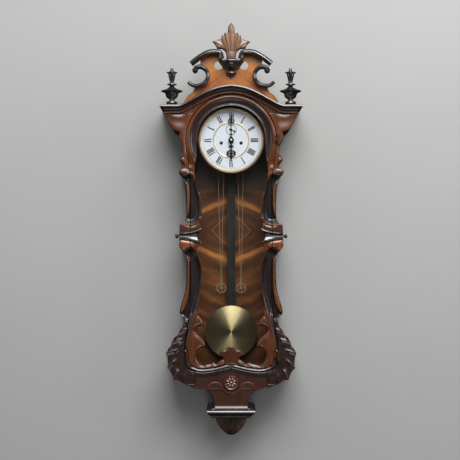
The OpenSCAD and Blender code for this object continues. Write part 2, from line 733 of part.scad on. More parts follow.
// Pulleys: a spoked wheel in a stirrup whose eye hangs on the line
module pulley_frame(c) {
    eye = eye_of(c);
    hub = c - [0, pulley_drop - (dial_z - c[1])];
    color(brass) {
        translate([eye[0], -line_y, eye[1]]) rotate([0, 90, 0]) rotate_extrude()
            translate([eye_ring_r, 0]) circle(r = eye_wire_r);
        translate([eye[0] - 3, -line_y - 5.2, eye[1] - 4.2]) cube([6, 10.4, 1.6]);
        for (s = [-5.2, 4.2]) translate([eye[0] - 2.5, -line_y + s, hub[1] - 4])
            cube([5, 1, eye[1] - 2.6 - hub[1] + 4]);
        pin_y(hub, line_y - 5.2, line_y + 5.2, arbor_r);
    }
}
module pulley_wheel(c) {
    hub = c - [0, pulley_drop - (dial_z - c[1])];
    color(brass) translate([hub[0], -line_y, hub[1]]) rotate([90, 0, 0]) difference() {
        union() {
            rotate_extrude() polygon([[pulley_r - 3, -3], [pulley_r, -3], [pulley_r - 1.8, 0],
                [pulley_r, 3], [pulley_r - 3, 3]]);
            cylinder(h = 6, r = 3.2, center = true);
            for (a = [0 : 72 : 288]) rotate([0, 0, a]) translate([2, -1.1, -1])
                cube([pulley_r - 4, 2.2, 2]);
        }
        cylinder(h = 8, r = arbor_r + run_gap, center = true);
    }
}
module time_pulley_frame() { pulley_frame(time_c); }
module time_pulley_wheel() { pulley_wheel(time_c); }
module strike_pulley_frame() { pulley_frame(strike_c); }
module strike_pulley_wheel() { pulley_wheel(strike_c); }

// Pendulum: spring and chops, wooden rod, lens bob hung a little in front of the rod
bob_z = anchor_c[1] - bob_drop;
bob_mid = rod_mid + 6;
module suspension_spring() {
    z = anchor_c[1];
    color(steel) {
        translate([-5, -rod_mid - 5, cock_top + 0.3]) cube([10, 10, 6]);
        translate([-0.25, -rod_mid - 5, z - 22]) cube([0.5, 10, cock_top - z + 23]);
        translate([-8, -rod_mid - 5, z - 29]) cube([16, 10, 8]);
    }
}
module pendulum_rod() {
    top = anchor_c[1] - 29;
    foot = bob_z - bob_r + 2;
    color(ebony) difference() {
        translate([-rod_w / 2, -rod_mid - rod_t / 2, foot]) cube([rod_w, rod_t, top - foot]);
        translate([-2, -rod_mid - rod_t, crutch_z - 8]) cube([4, 2 * rod_t, 16]);
    }
    color(brass) translate([0, -rod_mid, foot - 19]) cylinder(h = 19, r = 2);
}
module pendulum_bob() {
    rim = 1.5;
    cap = bob_t / 2 - rim;
    ball = (bob_r * bob_r + cap * cap) / (2 * cap);
    dome = [for (i = [14 : -1 : 1]) let (r = bob_r * i / 14)
        [r, rim + cap - ball + sqrt(ball * ball - r * r)]];
    color(brass) difference() {
        translate([0, -bob_mid, bob_z]) rotate([90, 0, 0]) rotate_extrude()
            polygon(concat([[0, -bob_t / 2]], [for (q = reversed(dome)) [q[0], -q[1]]], dome,
                [[0, bob_t / 2]]));
        translate([-rod_w / 2 - 0.3, -rod_mid - rod_t / 2 - 0.3, bob_z - bob_r - 2])
            cube([rod_w + 0.6, rod_mid, 2 * bob_r + 4]);
    }
}
module rating_nut() {
    color(brass) translate([0, -rod_mid, bob_z - bob_r - 7.3]) difference() {
        cylinder(h = 7, r = 9);
        translate([0, 0, -1]) cylinder(h = 9, r = 2 + run_gap);
    }
}

// The anchor, its arbor and the crutch, whose pin stands in the slot of the rod
crutch_z = anchor_c[1] - 64;
module anchor_and_crutch() {
    tip = (escape_r + 1.4) * [sin(45), cos(45)] - [0, anchor_rise];
    color(steel) {
        arbor(anchor_c, back_plate_back - 6);
        at(anchor_c) slab(escape_y, escape_y + 3) polygon(both([[0, 4], [4, 3], [12, -5],
            tip + [2.2, 1.6], tip, [9, -6], [3, -3], [0, -3.5]]));
        slab(back_plate_back - 6, back_plate_back - 3.5)
            polygon(both([[0, anchor_c[1] + 4], [4, anchor_c[1]], [2.5, crutch_z], [0, crutch_z - 4]]));
        pin_y([0, crutch_z], rod_mid - rod_t / 2 - 1, back_plate_back - 5, 1.5);
    }
}

// Time train
module centre_wheel() {
    color(brass) {
        wheel(dial_c, centre_y, centre_y + 1.4, centre_n, centre_mod, bearing(dial_c, third_c), arbor_r);
        pinion(dial_c, great_y - 1, great_y + 3.8, pinion_n, great_mod,
            bearing(dial_c, time_c) + 180 / pinion_n, arbor_r);
        pinion(dial_c, motion_y, motion_y + 2.5, cannon_n, motion_mod,
            bearing(dial_c, minute_c), arbor_r);
        arbor(dial_c, back_plate_back + 0.5, dial_front + 8.5);
        pin_y(dial_c, motion_y + 2.6, dial_front + 5.4, pipe_r);
    }
}
module third_wheel() {
    color(brass) {
        wheel(third_c, third_y, third_y + 1.2, third_n, third_mod, bearing(third_c, escape_c), arbor_r);
        pinion(third_c, centre_y - 0.8, centre_y + 2.2, pinion_n, centre_mod,
            bearing(third_c, dial_c) + 180 / pinion_n, arbor_r);
        arbor(third_c);
    }
}
module escape_wheel() {
    step = 360 / escape_n;
    color(brass) {
        at(escape_c) slab(escape_y, escape_y + 1.2) difference() {
            polygon([for (i = [0 : escape_n - 1], k = [[0, 0], [0.12, 0], [0.5, -3.4]])
                (escape_r + k[1]) * [cos((i + k[0]) * step), sin((i + k[0]) * step)]]);
            circle(r = arbor_r + 0.2, $fn = 12);
            for (k = [0 : 4]) polygon(window(5, 11.5, k * 72 + 9, k * 72 + 63));
        }
        pinion(escape_c, third_y - 1, third_y + 2.2, escape_pinion_n, third_mod,
            bearing(escape_c, third_c) + 180 / escape_pinion_n, arbor_r);
        arbor(escape_c, back_plate_back + 0.5, dial_front + 1.8);
    }
}
module great_wheel(c, mate, y) {
    color(brass) wheel(c, y, y + 3, great_n, great_mod, bearing(c, mate), drum_arbor_r);
}
module time_great_wheel() { great_wheel(time_c, dial_c, great_y); }
module strike_great_wheel() { great_wheel(strike_c, pin_wheel_c, strike_great_y); }
module drum(c) {
    color(brass) {
        arbor(c, back_plate_back + 0.5, dial_front - 8, drum_arbor_r);
        for (y = [drum_y, drum_y + drum_l + 2]) pin_y(c, y, y + 2, drum_r + 3);
        pin_y(c, drum_y + 2, drum_y + drum_l + 2, drum_r);
        at(c) slab(drum_y + drum_l + 4, great_y - 0.3) polygon([for (i = [0 : 23], k = [0, 1])
            (10.5 - 1.5 * k) * [cos(i * 15 + k), sin(i * 15 + k)]]);
        at(c) slab(dial_front - 8, dial_front - 1) square(drum_arbor_r * 1.4, center = true);
    }
}
module time_drum() { drum(time_c); }
module strike_drum() { drum(strike_c); }

// Motion work behind the dial, and the hands
module minute_wheel() {
    color(brass) {
        wheel(minute_c, motion_y, motion_y + 2.5, minute_n, motion_mod,
            bearing(minute_c, dial_c) + 180 / minute_n, stud_r);
        pinion(minute_c, motion_y + 3, motion_y + 6, minute_pinion_n, hour_mod,
            bearing(minute_c, dial_c), stud_r);
    }
}
module hour_wheel() {
    y0 = motion_y + 3.4;
    color(brass) {
        wheel(dial_c, y0, y0 + 2, hour_n, hour_mod, bearing(dial_c, minute_c) + 180 / hour_n,
            pipe_r + 1.2, false);
        difference() {
            pin_y(dial_c, y0, dial_front + 3.9, pipe_r + 1.2);
            pin_y(dial_c, y0 - 1, dial_front + 5, pipe_r + run_gap);
        }
    }
}
// A pierced hand: hub, stem, an open ring and a long point, pointing up
module hand(y, length, hub, bore, ring_at, ring_r) {
    slab(y, y + 1.2) difference() {
        union() {
            circle(r = hub);
            circle_at = [0, ring_at];
            translate(circle_at) circle(r = ring_r);
            polygon(both([[0, hub - 1], [2.2, hub - 1], [1.2, ring_at - ring_r + 1],
                [0, ring_at - ring_r + 1]]));
            polygon(both([[0, ring_at + ring_r - 1], [2.6, ring_at + ring_r - 1], [0, length]]));
        }
        circle(r = bore);
        translate([0, ring_at]) circle(r = ring_r - 3);
    }
}
module minute_hand() {
    color("#16161a") {
        at(dial_c) hand(dial_front + 5.5, minute_hand_l, 6, arbor_r + 0.02, 56, 8);
        difference() {
            pin_y(dial_c, dial_front + 6.8, dial_front + 8.8, 3.4);
            pin_y(dial_c, dial_front + 6, dial_front + 9, arbor_r + 0.02);
        }
    }
}
module hour_hand() {
    color("#16161a") at(dial_c) mirror([0, 0, 1])
        hand(dial_front + 2.7, hour_hand_l, 8, pipe_r + 1.22, 38, 9);
}
module seconds_hand() {
    color("#16161a") at(escape_c) slab(dial_front + 0.9, dial_front + 1.7) difference() {
        union() {
            circle(r = 2.4);
            rotate(-50) polygon([[-5, -0.8], [seconds_hand_l, -0.3], [seconds_hand_l, 0.3], [-5, 0.8]]);
        }
        circle(r = arbor_r + 0.02);
    }
}

// Strike train
module pin_wheel() {
    color(brass) {
        wheel(pin_wheel_c, pin_wheel_y, pin_wheel_y + 1.5, pin_wheel_n, strike_mod,
            bearing(pin_wheel_c, fly_c), arbor_r);
        pinion(pin_wheel_c, strike_great_y - 0.8, strike_great_y + 3.5, pinion_n, great_mod,
            bearing(pin_wheel_c, strike_c) + 180 / pinion_n, arbor_r);
        for (a = [0 : 45 : 315]) pin_y(pin_wheel_c + 14.6 * [cos(a + 20), sin(a + 20)],
            pin_wheel_y + 1.5, pin_wheel_y + 6, 0.8);
        arbor(pin_wheel_c);
    }
}
module fly() {
    color(brass) {
        pinion(fly_c, pin_wheel_y - 1, pin_wheel_y + 2.5, fly_pinion_n, strike_mod,
            bearing(fly_c, pin_wheel_c) + 180 / fly_pinion_n, arbor_r);
        arbor(fly_c);
        translate([fly_c[0] - 12, -90, fly_c[1] - 0.5]) cube([24, 15, 1]);
    }
}
module hammer() {
    head = [-52, gong_c[1]];
    aim = (pin_wheel_c - hammer_c) / norm(pin_wheel_c - hammer_c);
    color(steel) {
        pin_y(hammer_c, board_front + 4, pin_wheel_y + 10, arbor_r);
        slab(board_front + 4, board_front + 7) polygon(ribbon([hammer_c + [0, 3], head], 6, 4));
        slab(pin_wheel_y + 3, pin_wheel_y + 5.5)
            polygon(ribbon([hammer_c - 3 * aim, hammer_c + 9.5 * aim], 5, 2));
        translate([-59, -board_front - 5.5, head[1]]) rotate([0, 90, 0]) cylinder(h = 13.5, r = 4);
    }
}

backboard();
head_top();
head_cheeks();
upper_sides();
waist_blocks();
waist_turnings();
lower_sides();
skirts();
apron();
rosette();
base_shelf();
drop_bud();
cornice_fillet();
cornice_hollow();
crest_board();
crest_mouldings();
crest_bracket();
crest_leaf();
finials();
hanger_plate();
case_hinges();
movement_bracket();
back_plate();
front_plate();
dial_plate();
dial_enamel();
dial_rings();
gong();
time_line();
strike_line();
door_frame();
door_glass();
door_moulding();
door_tracery();
door_turnings();
door_hinges();
suspension_spring();
pendulum_rod();
pendulum_bob();
rating_nut();
anchor_and_crutch();
centre_wheel();
minute_hand();
third_wheel();
escape_wheel();
seconds_hand();
time_great_wheel();
time_drum();
minute_wheel();
hour_wheel();
hour_hand();
strike_great_wheel();
strike_drum();
pin_wheel();
fly();
hammer();
time_pulley_frame();
time_pulley_wheel();
strike_pulley_frame();
strike_pulley_wheel();
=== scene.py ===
"""Looks of the two-weight wall regulator: carved and stained walnut, ebonised mouldings,
enamel dial with black hands, brushed bob, gut lines, glass, floor, wall, lights and camera."""
import math

import bmesh
import bpy
import numpy as np
from mathutils import Matrix, Vector, kdtree
from mathutils.geometry import delaunay_2d_cdt


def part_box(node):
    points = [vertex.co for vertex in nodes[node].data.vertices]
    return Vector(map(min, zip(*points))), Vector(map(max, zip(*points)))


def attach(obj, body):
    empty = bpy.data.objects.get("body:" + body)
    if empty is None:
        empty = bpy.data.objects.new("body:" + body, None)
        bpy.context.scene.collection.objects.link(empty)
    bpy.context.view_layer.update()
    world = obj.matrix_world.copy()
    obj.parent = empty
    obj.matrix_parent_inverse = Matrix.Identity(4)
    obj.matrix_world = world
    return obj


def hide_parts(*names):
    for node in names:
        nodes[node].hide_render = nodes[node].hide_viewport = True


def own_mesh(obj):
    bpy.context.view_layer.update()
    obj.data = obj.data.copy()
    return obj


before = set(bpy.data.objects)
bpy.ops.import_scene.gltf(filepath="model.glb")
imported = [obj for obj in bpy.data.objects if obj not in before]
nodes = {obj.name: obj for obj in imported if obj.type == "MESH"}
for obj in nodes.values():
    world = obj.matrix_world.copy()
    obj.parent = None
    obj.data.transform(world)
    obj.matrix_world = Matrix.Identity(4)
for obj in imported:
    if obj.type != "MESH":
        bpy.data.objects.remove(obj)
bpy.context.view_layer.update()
scene = bpy.context.scene
MM = 0.001

# Places in millimetres: x to the right, y in front of the wall, z up from the hook
DIAL_Z = -142.0
DIAL_FRONT = 120.5
SECONDS_Z = -108.0
WINDING_HOLE = (31.986, -151)
FRAME_FRONT = 154.0
DOOR_FRONT = 148.5
FOOT_FRONT = 151.5
CREST_FRONT = 124.0
WAIST_Z = -452.0
BOB_Z = -768.0
ROSETTE_Z = -921.0
BUD_TOP = -1034.0
BUD_Y = 62.0
NEAR_WALL = 0.5
SEAMS = (-59.0, -243.0, -413.0, -490.0, -716.0, -926.0)


def place(x, y, z):
    return Vector((x * MM, -y * MM, z * MM))


# ---------------------------------------------------------------- selection and objects

def deselect():
    if bpy.context.object and bpy.context.object.mode != "OBJECT":
        bpy.ops.object.mode_set(mode="OBJECT")
    bpy.ops.object.select_all(action="DESELECT")


def only(obj):
    deselect()
    obj.select_set(True)
    bpy.context.view_layer.objects.active = obj
    return obj


def edit_all(obj):
    only(obj)
    bpy.ops.object.mode_set(mode="EDIT")
    bpy.ops.mesh.select_all(action="SELECT")


def settle(obj, name, angle=35):
    """Puts the object's place into its mesh, closes seams, turns faces out and smooths it."""
    only(obj)
    if obj.type != "MESH":
        bpy.ops.object.convert(target="MESH")
    bpy.ops.object.transform_apply(location=True, rotation=True, scale=True)
    edit_all(obj)
    bpy.ops.mesh.remove_doubles(threshold=0.00002)
    bpy.ops.mesh.normals_make_consistent(inside=False)
    bpy.ops.object.mode_set(mode="OBJECT")
    bpy.ops.object.shade_smooth_by_angle(angle=math.radians(angle))
    obj.name = obj.data.name = name
    return obj


def new_object(name, data):
    obj = bpy.data.objects.new(name, data)
    bpy.context.collection.objects.link(obj)
    return obj


def joined(objects, name):
    deselect()
    for obj in objects:
        obj.select_set(True)
    bpy.context.view_layer.objects.active = objects[0]
    if len(objects) > 1:
        bpy.ops.object.join()
    objects[0].name = objects[0].data.name = name
    return objects[0]


def copy_of(obj, matrix):
    """A copy with its own mesh, moved by a matrix; a mirrored one gets its faces turned out."""
    twin = obj.copy()
    twin.data = obj.data.copy()
    bpy.context.collection.objects.link(twin)
    twin.data.transform(matrix)
    if matrix.determinant() < 0:
        twin.data.flip_normals()
    return twin


def both_sides(obj, name):
    return joined([obj, copy_of(obj, Matrix.Scale(-1, 4, (1, 0, 0)))], name)


def finish_piece(obj, material, body, slot, *replaced):
    obj.data.materials.clear()
    obj.data.materials.append(material)
    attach(obj, body)
    if replaced:
        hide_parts(*replaced)
    return obj


# ---------------------------------------------------------------- lines and distances

def smooth_path(points, steps=4):
    """A smooth path through points, with a number of steps between neighbours."""
    p = [np.array(q, float) for q in points]
    m = len(p) - 1
    out = []
    for i in range(m):
        a, b, c, d = p[max(i - 1, 0)], p[i], p[i + 1], p[min(i + 2, m)]
        for k in range(steps):
            t = k / steps
            out.append(0.5 * (2 * b + (c - a) * t + (2 * a - 5 * b + 4 * c - d) * t * t
                              + (3 * b - a - 3 * c + d) * t ** 3))
    return [tuple(q) for q in out + [p[m]]]


def closed_smooth(points, steps=3):
    """A smooth closed outline through points."""
    ring = smooth_path(points[-2:] + points + points[:2], steps)
    return ring[2 * steps:-2 * steps]


def mirrored_outline(points, steps=5):
    """A closed smooth outline through points of the right half, mirrored to the left."""
    right = smooth_path(points, steps)
    return right + [(-x, z) for x, z in right[::-1] if abs(x) > 1e-6]


def pierced(points, steps=4):
    """A hole on the right of a hand and its mirror image on the left."""
    hole = smooth_path(points + points[:1], steps)[:-1]
    return [hole, [(-x, z) for x, z in hole[::-1]]]


def turn_about(points, degrees, centre):
    a = math.radians(degrees)
    cx, cz = centre
    return [(cx + p * math.cos(a) + q * math.sin(a), cz + q * math.cos(a) - p * math.sin(a))
            for p, q in points]


def arc_line(centre, radii, start, end, step):
    """Points on an arc or ellipse, from a start to an end in degrees."""
    turns = [math.radians(a) for a in range(start, end + 1, step)]
    return [(centre[0] + radii[0] * math.cos(a), centre[1] + radii[1] * math.sin(a))
            for a in turns]


def smoothstep(t):
    t = np.clip(t, 0.0, 1.0)
    return t * t * (3 - 2 * t)


def rounded(edge):
    """0 at an edge, rising on a quarter circle to 1."""
    edge = np.clip(edge, 0, 1)
    return np.sqrt(1 - (1 - edge) ** 2)


def roll(t):
    """A half round: 0 at both ends of 0 to 1, and 1 in the middle."""
    return np.sqrt(np.clip(1 - (2 * np.clip(t, 0, 1) - 1) ** 2, 0, 1))


def mound(distance, width):
    """1 where the distance is 0, falling off softly over a width."""
    return np.exp(-(distance / width) ** 2)


def by_height(table, z):
    """A value read from a table of (z, value) rows."""
    table = sorted(table)
    return np.interp(z, [t[0] for t in table], [t[1] for t in table])


def by_width(table, x):
    """A value read from a table of (x, value) rows."""
    return np.interp(x, [t[0] for t in table], [t[1] for t in table])


def inside(points, segments):
    """Whether each (x, z) point lies inside closed loops given as segments."""
    (x0, z0), (x1, z1) = segments[:, 0].T, segments[:, 1].T
    answer = np.zeros(len(points), bool)
    batch = 4000
    for start in range(0, len(points), batch):
        x, z = points[start:start + batch, 0][:, None], points[start:start + batch, 1][:, None]
        crosses = (z0 > z) != (z1 > z)
        with np.errstate(divide="ignore", invalid="ignore"):
            at_x = x0 + (z - z0) * (x1 - x0) / (z1 - z0)
        answer[start:start + batch] = (crosses & (x < at_x)).sum(axis=1) % 2 == 1
    return answer


def distance_to(x, z, line):
    """How far each point is from an open line of (x, z) points, in mm."""
    best = np.full(len(x), 1e6)
    for (x0, z0), (x1, z1) in zip(line, line[1:]):
        dx, dz = x1 - x0, z1 - z0
        t = np.clip(((x - x0) * dx + (z - z0) * dz) / max(dx * dx + dz * dz, 1e-9), 0, 1)
        best = np.minimum(best, np.hypot(x - x0 - t * dx, z - z0 - t * dz))
    return best


def depth_in(x, z, outline):
    """How far each point lies inside a closed outline, in mm; negative outside it."""
    closed = outline + outline[:1]
    segments = np.array([(a, b) for a, b in zip(closed, closed[1:])], float)
    far = distance_to(x, z, closed)
    return np.where(inside(np.stack([x, z], axis=1), segments), far, -far)


def depth_in_either(x, z, outlines):
    return np.maximum(*(depth_in(x, z, outline) for outline in outlines))


# ---------------------------------------------------------------- ways of making pieces

def turned(name, profile, centre, axis="Z", steps=48, angle=35):
    """A profile of (radius, height) in mm, drawn point by point and spun round an axis."""
    deselect()
    bpy.ops.mesh.primitive_plane_add(size=0.002)
    obj = bpy.context.object
    edit_all(obj)
    bpy.ops.mesh.merge(type="CENTER")
    profile = [Vector((r * MM, 0, h * MM)) for r, h in profile]
    bpy.ops.transform.translate(value=profile[0])
    for a, b in zip(profile, profile[1:]):
        bpy.ops.mesh.extrude_region_move(TRANSFORM_OT_translate={"value": b - a})
    bpy.ops.mesh.select_all(action="SELECT")
    bpy.ops.mesh.spin(steps=steps, angle=2 * math.pi, center=(0, 0, 0), axis=(0, 0, 1))
    bpy.ops.object.mode_set(mode="OBJECT")
    turn = {"Z": Matrix(), "Y": Matrix.Rotation(math.pi / 2, 4, "X"),
            "X": Matrix.Rotation(math.pi / 2, 4, "Y")}[axis]
    obj.matrix_world = Matrix.Translation(place(*centre)) @ turn
    return settle(obj, name, angle)


def saw_flat(obj, y):
    """Saws a piece through on the plane y mm in front of the wall and closes the cut."""
    edit_all(obj)
    bpy.ops.mesh.bisect(plane_co=place(0, y, 0), plane_no=(0, 1, 0), use_fill=True,
                        clear_outer=True)
    bpy.ops.object.mode_set(mode="OBJECT")
    return obj


def half_turned(name, profile, centre, steps=64):
    """A turned piece sawn through on the plane at its back."""
    return settle(saw_flat(turned(name, profile, centre, "Z", steps), centre[1]), name)


def shaped_grid(name, rows, columns, where, angle=40):
    """A grid whose points are moved to the place that a function of row and column gives."""
    deselect()
    bpy.ops.mesh.primitive_grid_add(x_subdivisions=columns - 1, y_subdivisions=rows - 1, size=1)
    obj = bpy.context.object
    grid = sorted(obj.data.vertices, key=lambda v: (round(v.co.y, 4), round(v.co.x, 4)))
    for i, vert in enumerate(grid):
        vert.co = place(*where(*divmod(i, columns)))
    return settle(obj, name, angle)


def drawn_curve(name, lines, cyclic, radii=None):
    """A flat curve through lines of (x, z) points in mm."""
    curve = bpy.data.curves.new(name, "CURVE")
    curve.dimensions = "2D"
    for line in lines:
        spline = curve.splines.new("POLY")
        spline.points.add(len(line) - 1)
        for point, (x, z), radius in zip(spline.points, line, radii or [1.0] * len(line)):
            point.co = (x * MM, z * MM, 0, 1)
            point.radius = radius
        spline.use_cyclic_u = cyclic
    return curve


def stood_up(obj, y):
    """Stands a flat curve up at a distance from the wall."""
    obj.matrix_world = Matrix.Translation(place(0, y, 0)) @ Matrix.Rotation(math.pi / 2, 4, "X")
    return obj


def flat_curve(name, outlines, y0, y1, bevel=0.0):
    """Closed outlines of (x, z) in mm, filled between two distances from the wall."""
    curve = drawn_curve(name, outlines, True)
    curve.fill_mode = "BOTH"
    curve.extrude = max((y1 - y0) / 2 - bevel, 0) * MM
    curve.bevel_depth = bevel * MM
    curve.bevel_resolution = 2
    return stood_up(new_object(name, curve), (y0 + y1) / 2)


def moulding(name, path, profile, y0, widths=None):
    """A closed profile of (across, forward) in mm run along a path of (x, z) points."""
    section = new_object(name + "_section", drawn_curve(name + "_section", [profile], True))
    curve = drawn_curve(name, [path], False, widths)
    curve.fill_mode = "NONE"
    curve.bevel_mode = "OBJECT"
    curve.bevel_object = section
    curve.use_fill_caps = True
    obj = settle(stood_up(new_object(name, curve), y0), name)
    bpy.data.objects.remove(section)
    return obj


# ---------------------------------------------------------------- carving

def search_tree(points):
    tree = kdtree.KDTree(max(len(points), 1))
    for i, (x, z) in enumerate(points):
        tree.insert((x, z, 0), i)
    tree.balance()
    return tree


def apart(points, tree, gap):
    """The points that lie further than a gap from every point of a tree."""
    return [p for p in points if tree.find((p[0], p[1], 0))[2] > gap]


def rows_beside(lines, gaps):
    """Points beside both mirror images of the lines, at the given distances."""
    rows = []
    for line in lines:
        a = np.array(line, float)
        length = np.concatenate([[0], np.cumsum(np.linalg.norm(np.diff(a, axis=0), axis=1))])
        at = np.linspace(0, length[-1], max(int(length[-1] / 2.0), 2))
        mid = np.stack([np.interp(at, length, a[:, 0]), np.interp(at, length, a[:, 1])], axis=1)
        run = np.gradient(mid, axis=0)
        side = np.stack([-run[:, 1], run[:, 0]], axis=1)
        side /= np.linalg.norm(side, axis=1)[:, None] + 1e-9
        rows += [mid + side * gap for gap in gaps]
    points = np.concatenate(rows)
    points = points[points[:, 0] > 0.5]
    return np.concatenate([points, points * (-1, 1)])


def edge_loops(edges):
    """The closed loops that a set of edges forms."""
    left, loops = set(edges), []
    while left:
        stack, loop = [left.pop()], []
        while stack:
            edge = stack.pop()
            loop.append(edge)
            for vert in edge.verts:
                for other in vert.link_edges:
                    if other in left:
                        left.discard(other)
                        stack.append(other)
        loops.append(loop)
    return loops


def open_front(node, front_y, cut, fill_holes):
    """A CAD node's mesh without its front, and the open edges there, cut into short ones."""
    bm = bmesh.new()
    bm.from_mesh(nodes[node].data)
    bmesh.ops.remove_doubles(bm, verts=bm.verts, dist=1e-5)
    if cut is not None:
        bmesh.ops.delete(bm, geom=[f for f in bm.faces if -f.calc_center_median().y > cut * MM],
                         context="FACES")
    front = [f for f in bm.faces if f.normal.y < -0.99
             and abs(-f.calc_center_median().y - front_y * MM) < 2e-4]
    bmesh.ops.delete(bm, geom=front, context="FACES")
    rim = [e for e in bm.edges if len(e.link_faces) == 1]
    if fill_holes:
        # only the highest loop stays open
        loops = sorted(edge_loops(rim), key=lambda loop: max(v.co.z for e in loop for v in e.verts))
        others = [e for loop in loops[:-1] for e in loop]
        bmesh.ops.delete(bm, geom=list({f for e in others for f in e.link_faces}), context="FACES")
        rim = [e for e in loops[-1] if e.is_valid]
    longest = 2.6 * MM
    for edge in rim:
        cuts = int(edge.calc_length() / longest)
        if cuts:
            bmesh.ops.subdivide_edges(bm, edges=[edge], cuts=cuts)
    return bm, [e for e in bm.edges if len(e.link_faces) == 1]


def carving_points(segments, samples, lines, gaps, step):
    """Points inside: rows beside the edge, rows beside the creases, then an even grid."""
    taken = search_tree(samples)
    run = segments[:, 1] - segments[:, 0]
    normal = np.stack([-run[:, 1], run[:, 0]], axis=1)
    normal /= np.linalg.norm(normal, axis=1)[:, None] + 1e-9
    middle = segments.mean(axis=1)
    inner = []
    for gap in (0.6, 1.5, 2.7):
        row = np.concatenate([middle + normal * gap, middle - normal * gap])
        inner += apart(row[inside(row, segments)], taken, gap * 0.8)
    low, high = segments.min(axis=(0, 1)), segments.max(axis=(0, 1))
    if lines:
        row = rows_beside(lines, gaps)
        row = row[((row > low) & (row < high)).all(axis=1)]
        inner += apart(row[inside(row, segments)], taken, 2.9)
    xs = np.arange(low[0], high[0] + step, step)
    zs = np.arange(low[1], high[1] + step, step * 0.9)
    grid = np.array([(x + (row % 2) * step / 2, z) for row, z in enumerate(zs) for x in xs])
    grid = grid[inside(grid, segments)]
    return inner + apart(grid, search_tree([*samples, *inner]), step * 0.62)


def fill_front(bm, rim, segments, inner, edges, front_y):
    """Fills the opening with fine triangles through the inner points."""
    points = [Vector(p) for p in rim[1]] + [Vector(p) for p in inner]
    out, _, faces, origin, _, _ = delaunay_2d_cdt(points, edges, [], 1, 1e-6)
    bm_verts = []
    for co, source in zip(out, origin):
        on_rim = [i for i in source if i < len(rim[0])]
        bm_verts.append(rim[0][on_rim[0]] if on_rim
                        else bm.verts.new((co.x * MM, -front_y * MM, co.y * MM)))
    centres = np.array([sum(((out[i].x, out[i].y) for i in f), ()) for f in faces])
    centres = centres.reshape(len(faces), -1, 2).mean(axis=1)
    made = []
    for f, fine in zip(faces, inside(centres, segments)):
        corners = [bm_verts[i] for i in f]
        if fine and len(set(corners)) == 3:
            face = bm.faces.new(corners)
            face.normal_update()
            if face.normal.y > 0:
                face.normal_flip()
            made.append(face)
    return list({v for f in made for v in f.verts})


def carve(name, node, front_y, height, stain_and_shade, warm, step=1.8, sharp=None, round_over=3.0, cut=None,
          fill_holes=False, lines=(), gaps=(-2.4, -1.1, 0, 1.1, 2.4)):
    """A copy of a CAD node whose front is remade as a carved surface.

    height, the dark tint and the warm tint take arrays |x|, z, d in mm, d being the distance to the
    nearest edge, and give the distance from the wall and the two tints. The dark tint is real stain
    together with painted shade; the warm tint is warmer wood together with painted highlights.
    sharp says which edge points count. Points are set beside the given lines, so that their
    creases stay crisp."""
    bm, rim = open_front(node, front_y, cut, fill_holes)
    verts = list(dict.fromkeys(v for e in rim for v in e.verts))
    index = {v: i for i, v in enumerate(verts)}
    edges = [(index[e.verts[0]], index[e.verts[1]]) for e in rim]
    border = np.array([(v.co.x, v.co.z) for v in verts]) / MM
    segments = np.array([(border[a], border[b]) for a, b in edges])
    samples = np.concatenate([segments[:, 0] * (1 - t) + segments[:, 1] * t
                              for t in (0.0, 0.33, 0.67)])
    keep = np.ones(len(samples), bool)
    rise = np.tile(np.abs(segments[:, 1, 1] - segments[:, 0, 1]), 3)
    # where one node ends at the next there is no edge to round over
    for seam in SEAMS:
        keep &= ~((np.abs(samples[:, 1] - seam) < 0.05) & (rise < 0.05))
    if sharp is not None:
        keep &= sharp(samples)
    tree = search_tree(samples[keep])

    def distance(x, z):
        if not keep.any():
            return np.full(len(x), 99.0)
        return np.array([tree.find((p, q, 0))[2] for p, q in zip(x, z)])

    inner = carving_points(segments, samples, lines, gaps, step)
    front_verts = fill_front(bm, (verts, border), segments, inner, edges, front_y)
    co = np.array([(v.co.x, v.co.z) for v in front_verts]) / MM
    dist = distance(co[:, 0], co[:, 1])
    y = height(np.abs(co[:, 0]), co[:, 1], dist)
    t = np.clip(1 - dist / round_over, 0, 1)
    y = y - round_over * 0.8 * (1 - np.sqrt(1 - t * t * 0.97))
    for vert, value in zip(front_verts, y):
        vert.co.y = -value * MM

    loose = [v for v in bm.verts if not v.link_faces]
    bmesh.ops.delete(bm, geom=loose, context="VERTS")
    bmesh.ops.triangulate(bm, faces=[f for f in bm.faces if len(f.verts) > 4])
    mesh = bpy.data.meshes.new(name)
    bm.to_mesh(mesh)
    bm.free()
    spots = np.array([v.co for v in mesh.vertices]) / MM
    far = distance(spots[:, 0], spots[:, 2])
    # the dark tint holds stain and painted shade, the warm tint warmer wood and painted highlights
    for label, tint in (("stain_and_shade", stain_and_shade), ("warm", warm)):
        value = np.clip(tint(np.abs(spots[:, 0]), spots[:, 2], far), 0, 1)
        layer = mesh.attributes.new(label, "FLOAT", "POINT")
        layer.data.foreach_set("value", value.astype(np.float32))
    obj = new_object(name, mesh)
    only(obj)
    bpy.ops.object.shade_smooth_by_angle(angle=math.radians(50))
    return obj


# ---------------------------------------------------------------- shader nodes

class Signal:
    """An output of a shader node. Sums and products of it become Math nodes."""

    def __init__(self, tree, socket):
        self.tree, self.socket = tree, socket

    def math(self, operation, other=None, clamp=False):
        inputs = {0: self} if other is None else {0: self, 1: other}
        return node(self.tree, "Math", inputs, operation=operation, use_clamp=clamp)

    def vector(self, operation, other=None, out=0):
        inputs = {0: self} if other is None else {0: self, 1: other}
        return node(self.tree, "VectorMath", inputs, out, operation=operation)

    def excess(self, low, gain):
        """How far it is over a low value, times a gain, kept between 0 and 1."""
        return (self - low).math("MULTIPLY", gain, clamp=True)

    def __add__(self, other):
        return self.math("ADD", other)

    def __sub__(self, other):
        return self.math("SUBTRACT", other)

    def __rsub__(self, other):
        return node(self.tree, "Math", {0: other, 1: self}, operation="SUBTRACT")

    def __mul__(self, other):
        return self.math("MULTIPLY", other)

    def __truediv__(self, other):
        return self.math("DIVIDE", other)

    def __abs__(self):
        return self.math("ABSOLUTE")


